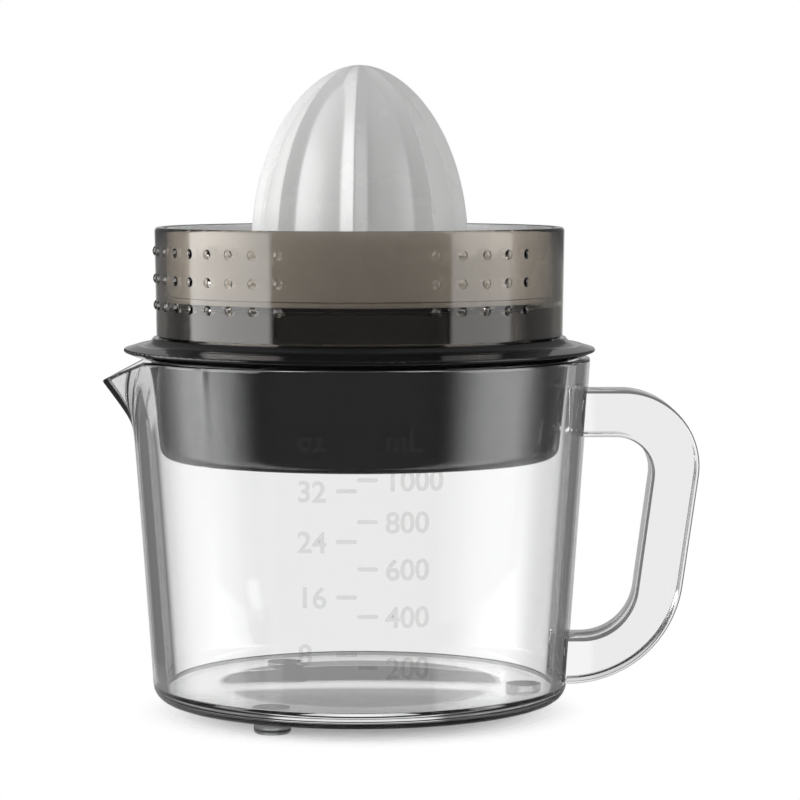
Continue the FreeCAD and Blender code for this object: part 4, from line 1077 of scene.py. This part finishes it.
def panel_material(name, level, soft):
    """Light panel with soft edges, dimmer at its foot where clear plastic shows it."""
    shade = new_shade(name)
    _, across, up = shade.axes("Generated")
    _, through, _ = shade.rays()
    glow = across.ramp(*PANEL_FRONT_EDGE) * across.ramp(1.0, 1.0 - soft) * up.ramp(*PANEL_TOP_EDGE)
    glow = glow * (1 - through * up.ramp(*PANEL_FOOT))
    return shade.surface("Emission", {"Color": shade.grey(glow * level)})


def side_panel(name, level, start, end, soft):
    """Upright light panel between two angles."""
    turns = [FRONT + math.radians(turn) for turn in (start, end)]
    corners = [spot_at(PANEL_DISTANCE, turn, PANEL_LOW) for turn in turns]
    corners += [spot_at(PANEL_DISTANCE, turn, PANEL_HIGH) for turn in reversed(turns)]
    panel = stage_object(name, corners, panel_material(name, level, soft))
    panel.visible_camera = False


def top_panel(level):
    """Light panel overhead."""
    material = new_shade("panel_top").surface("Emission", {"Strength": level})
    half, z = TOP_PANEL_HALF, TOP_PANEL_Z
    corners = [(-half, -half, z), (-half, half, z), (half, half, z), (half, -half, z)]
    panel = stage_object("panel_top", corners, material)
    panel.visible_camera = False
    panel.visible_glossy = False


def set_world(stage):
    """Soft room, white to the camera; clear plastic sees a bright field behind and a glow on both sides."""
    shade = Shade(bpy.data.worlds.new("soft_room"))
    seen, through, mirrored = shade.rays()
    x, y, z = shade.axes("Generated")
    azimuth = x.maths("ARCTAN2", y) * math.degrees(1.0)
    aside = abs(azimuth - ROOM_TURN)
    rise = z.maths("ARCSINE") * math.degrees(1.0)
    glow = aside.ramp(*GLOW_BACK) * aside.ramp(*GLOW_FRONT) * rise.ramp(*GLOW_TOP)
    field = abs(azimuth).ramp(*FIELD_SIDE) * (
        rise.ramp(*FIELD_LOW) * rise.ramp(*FIELD_HIGH) * rise.ramp(*FIELD_UPPER))
    dim = aside.ramp(*DIM_BACK) + aside.ramp(*DIM_FRONT)
    behind = field.over(glow * stage.side_level + dim)
    room = aside.ramp(*ROOM_SIDE) + rise.ramp(*ROOM_TOP) + glow
    around = (room * stage.fill_level).over(field * mirrored * FIELD_MIRRORED)
    level = behind * through + around * (1 - through)
    level = level * (1 - seen) + seen
    world = shade.surface("Background", {"Color": shade.grey(level)}, "OutputWorld")
    bpy.context.scene.world = world


def set_camera(stage):
    """Camera in front of the juicer, at the middle of its outline."""
    lens = bpy.data.cameras.new("camera")
    lens.lens = stage.lens
    camera = scene_object("camera", lens)
    camera.location = (0.0, -stage.camera_distance, stage.camera_height)
    camera.rotation_euler = (math.pi / 2 - stage.camera_tilt, 0.0, 0.0)
    bpy.context.scene.camera = camera


class JUICER_OT_stage(bpy.types.Operator):
    """Set up floor, light and camera"""
    bl_idname = "juicer.stage"
    bl_label = "Stage"

    def execute(self, context):
        stage = context.scene.juicer.stage
        turns = [FULL_TURN * i / FLOOR_SIDES for i in range(FLOOR_SIDES)]
        rim = [spot_at(FLOOR_RADIUS, turn, -FLOOR_DROP) for turn in turns]
        stage_object("floor", rim, floor_material(stage))
        side_panel("panel_left", stage.left_level, *LEFT_PANEL)
        side_panel("panel_right", stage.right_level, *RIGHT_PANEL)
        top_panel(stage.top_level)
        set_world(stage)
        set_camera(stage)
        context.scene.view_settings.view_transform = "Standard"
        return {"FINISHED"}


OPERATORS = (
    JUICER_OT_jug, JUICER_OT_scale, JUICER_OT_twist_ring, JUICER_OT_cone,
    JUICER_OT_housing, JUICER_OT_strainer, JUICER_OT_spring, JUICER_OT_drive,
    JUICER_OT_stage,
)
GROUPS = (JugSizes, RingSizes, ConeSizes, ScaleSizes, Finishes, StageSettings, JuicerSettings)


class JUICER_PT_panel(bpy.types.Panel):
    """Operators and settings of the juicer"""
    bl_idname = "JUICER_PT_panel"
    bl_label = "Juicer"
    bl_space_type = "VIEW_3D"
    bl_region_type = "UI"
    bl_category = "Juicer"

    def draw(self, context):
        for operator in OPERATORS:
            self.layout.operator(operator.bl_idname)
        for group in JuicerSettings.__annotations__:
            settings, box = getattr(context.scene.juicer, group), self.layout.box()
            for name in settings.__annotations__:
                box.prop(settings, name)


CLASSES = GROUPS + OPERATORS + (JUICER_PT_panel,)


def register():
    """Add the classes and the scene's settings."""
    for item in CLASSES:
        bpy.utils.register_class(item)
    bpy.types.Scene.juicer = bpy.props.PointerProperty(type=JuicerSettings)


def unregister():
    """Take the settings and the classes away again."""
    del bpy.types.Scene.juicer
    for item in reversed(CLASSES):
        bpy.utils.unregister_class(item)


def main():
    """Dress the juicer and set the stage."""
    register()
    bpy.ops.juicer.jug()
    bpy.ops.juicer.scale()
    bpy.ops.juicer.twist_ring()
    bpy.ops.juicer.cone()
    bpy.ops.juicer.housing()
    bpy.ops.juicer.strainer()
    bpy.ops.juicer.spring()
    bpy.ops.juicer.drive()
    bpy.ops.juicer.stage()


if __name__ == "__main__":
    main()
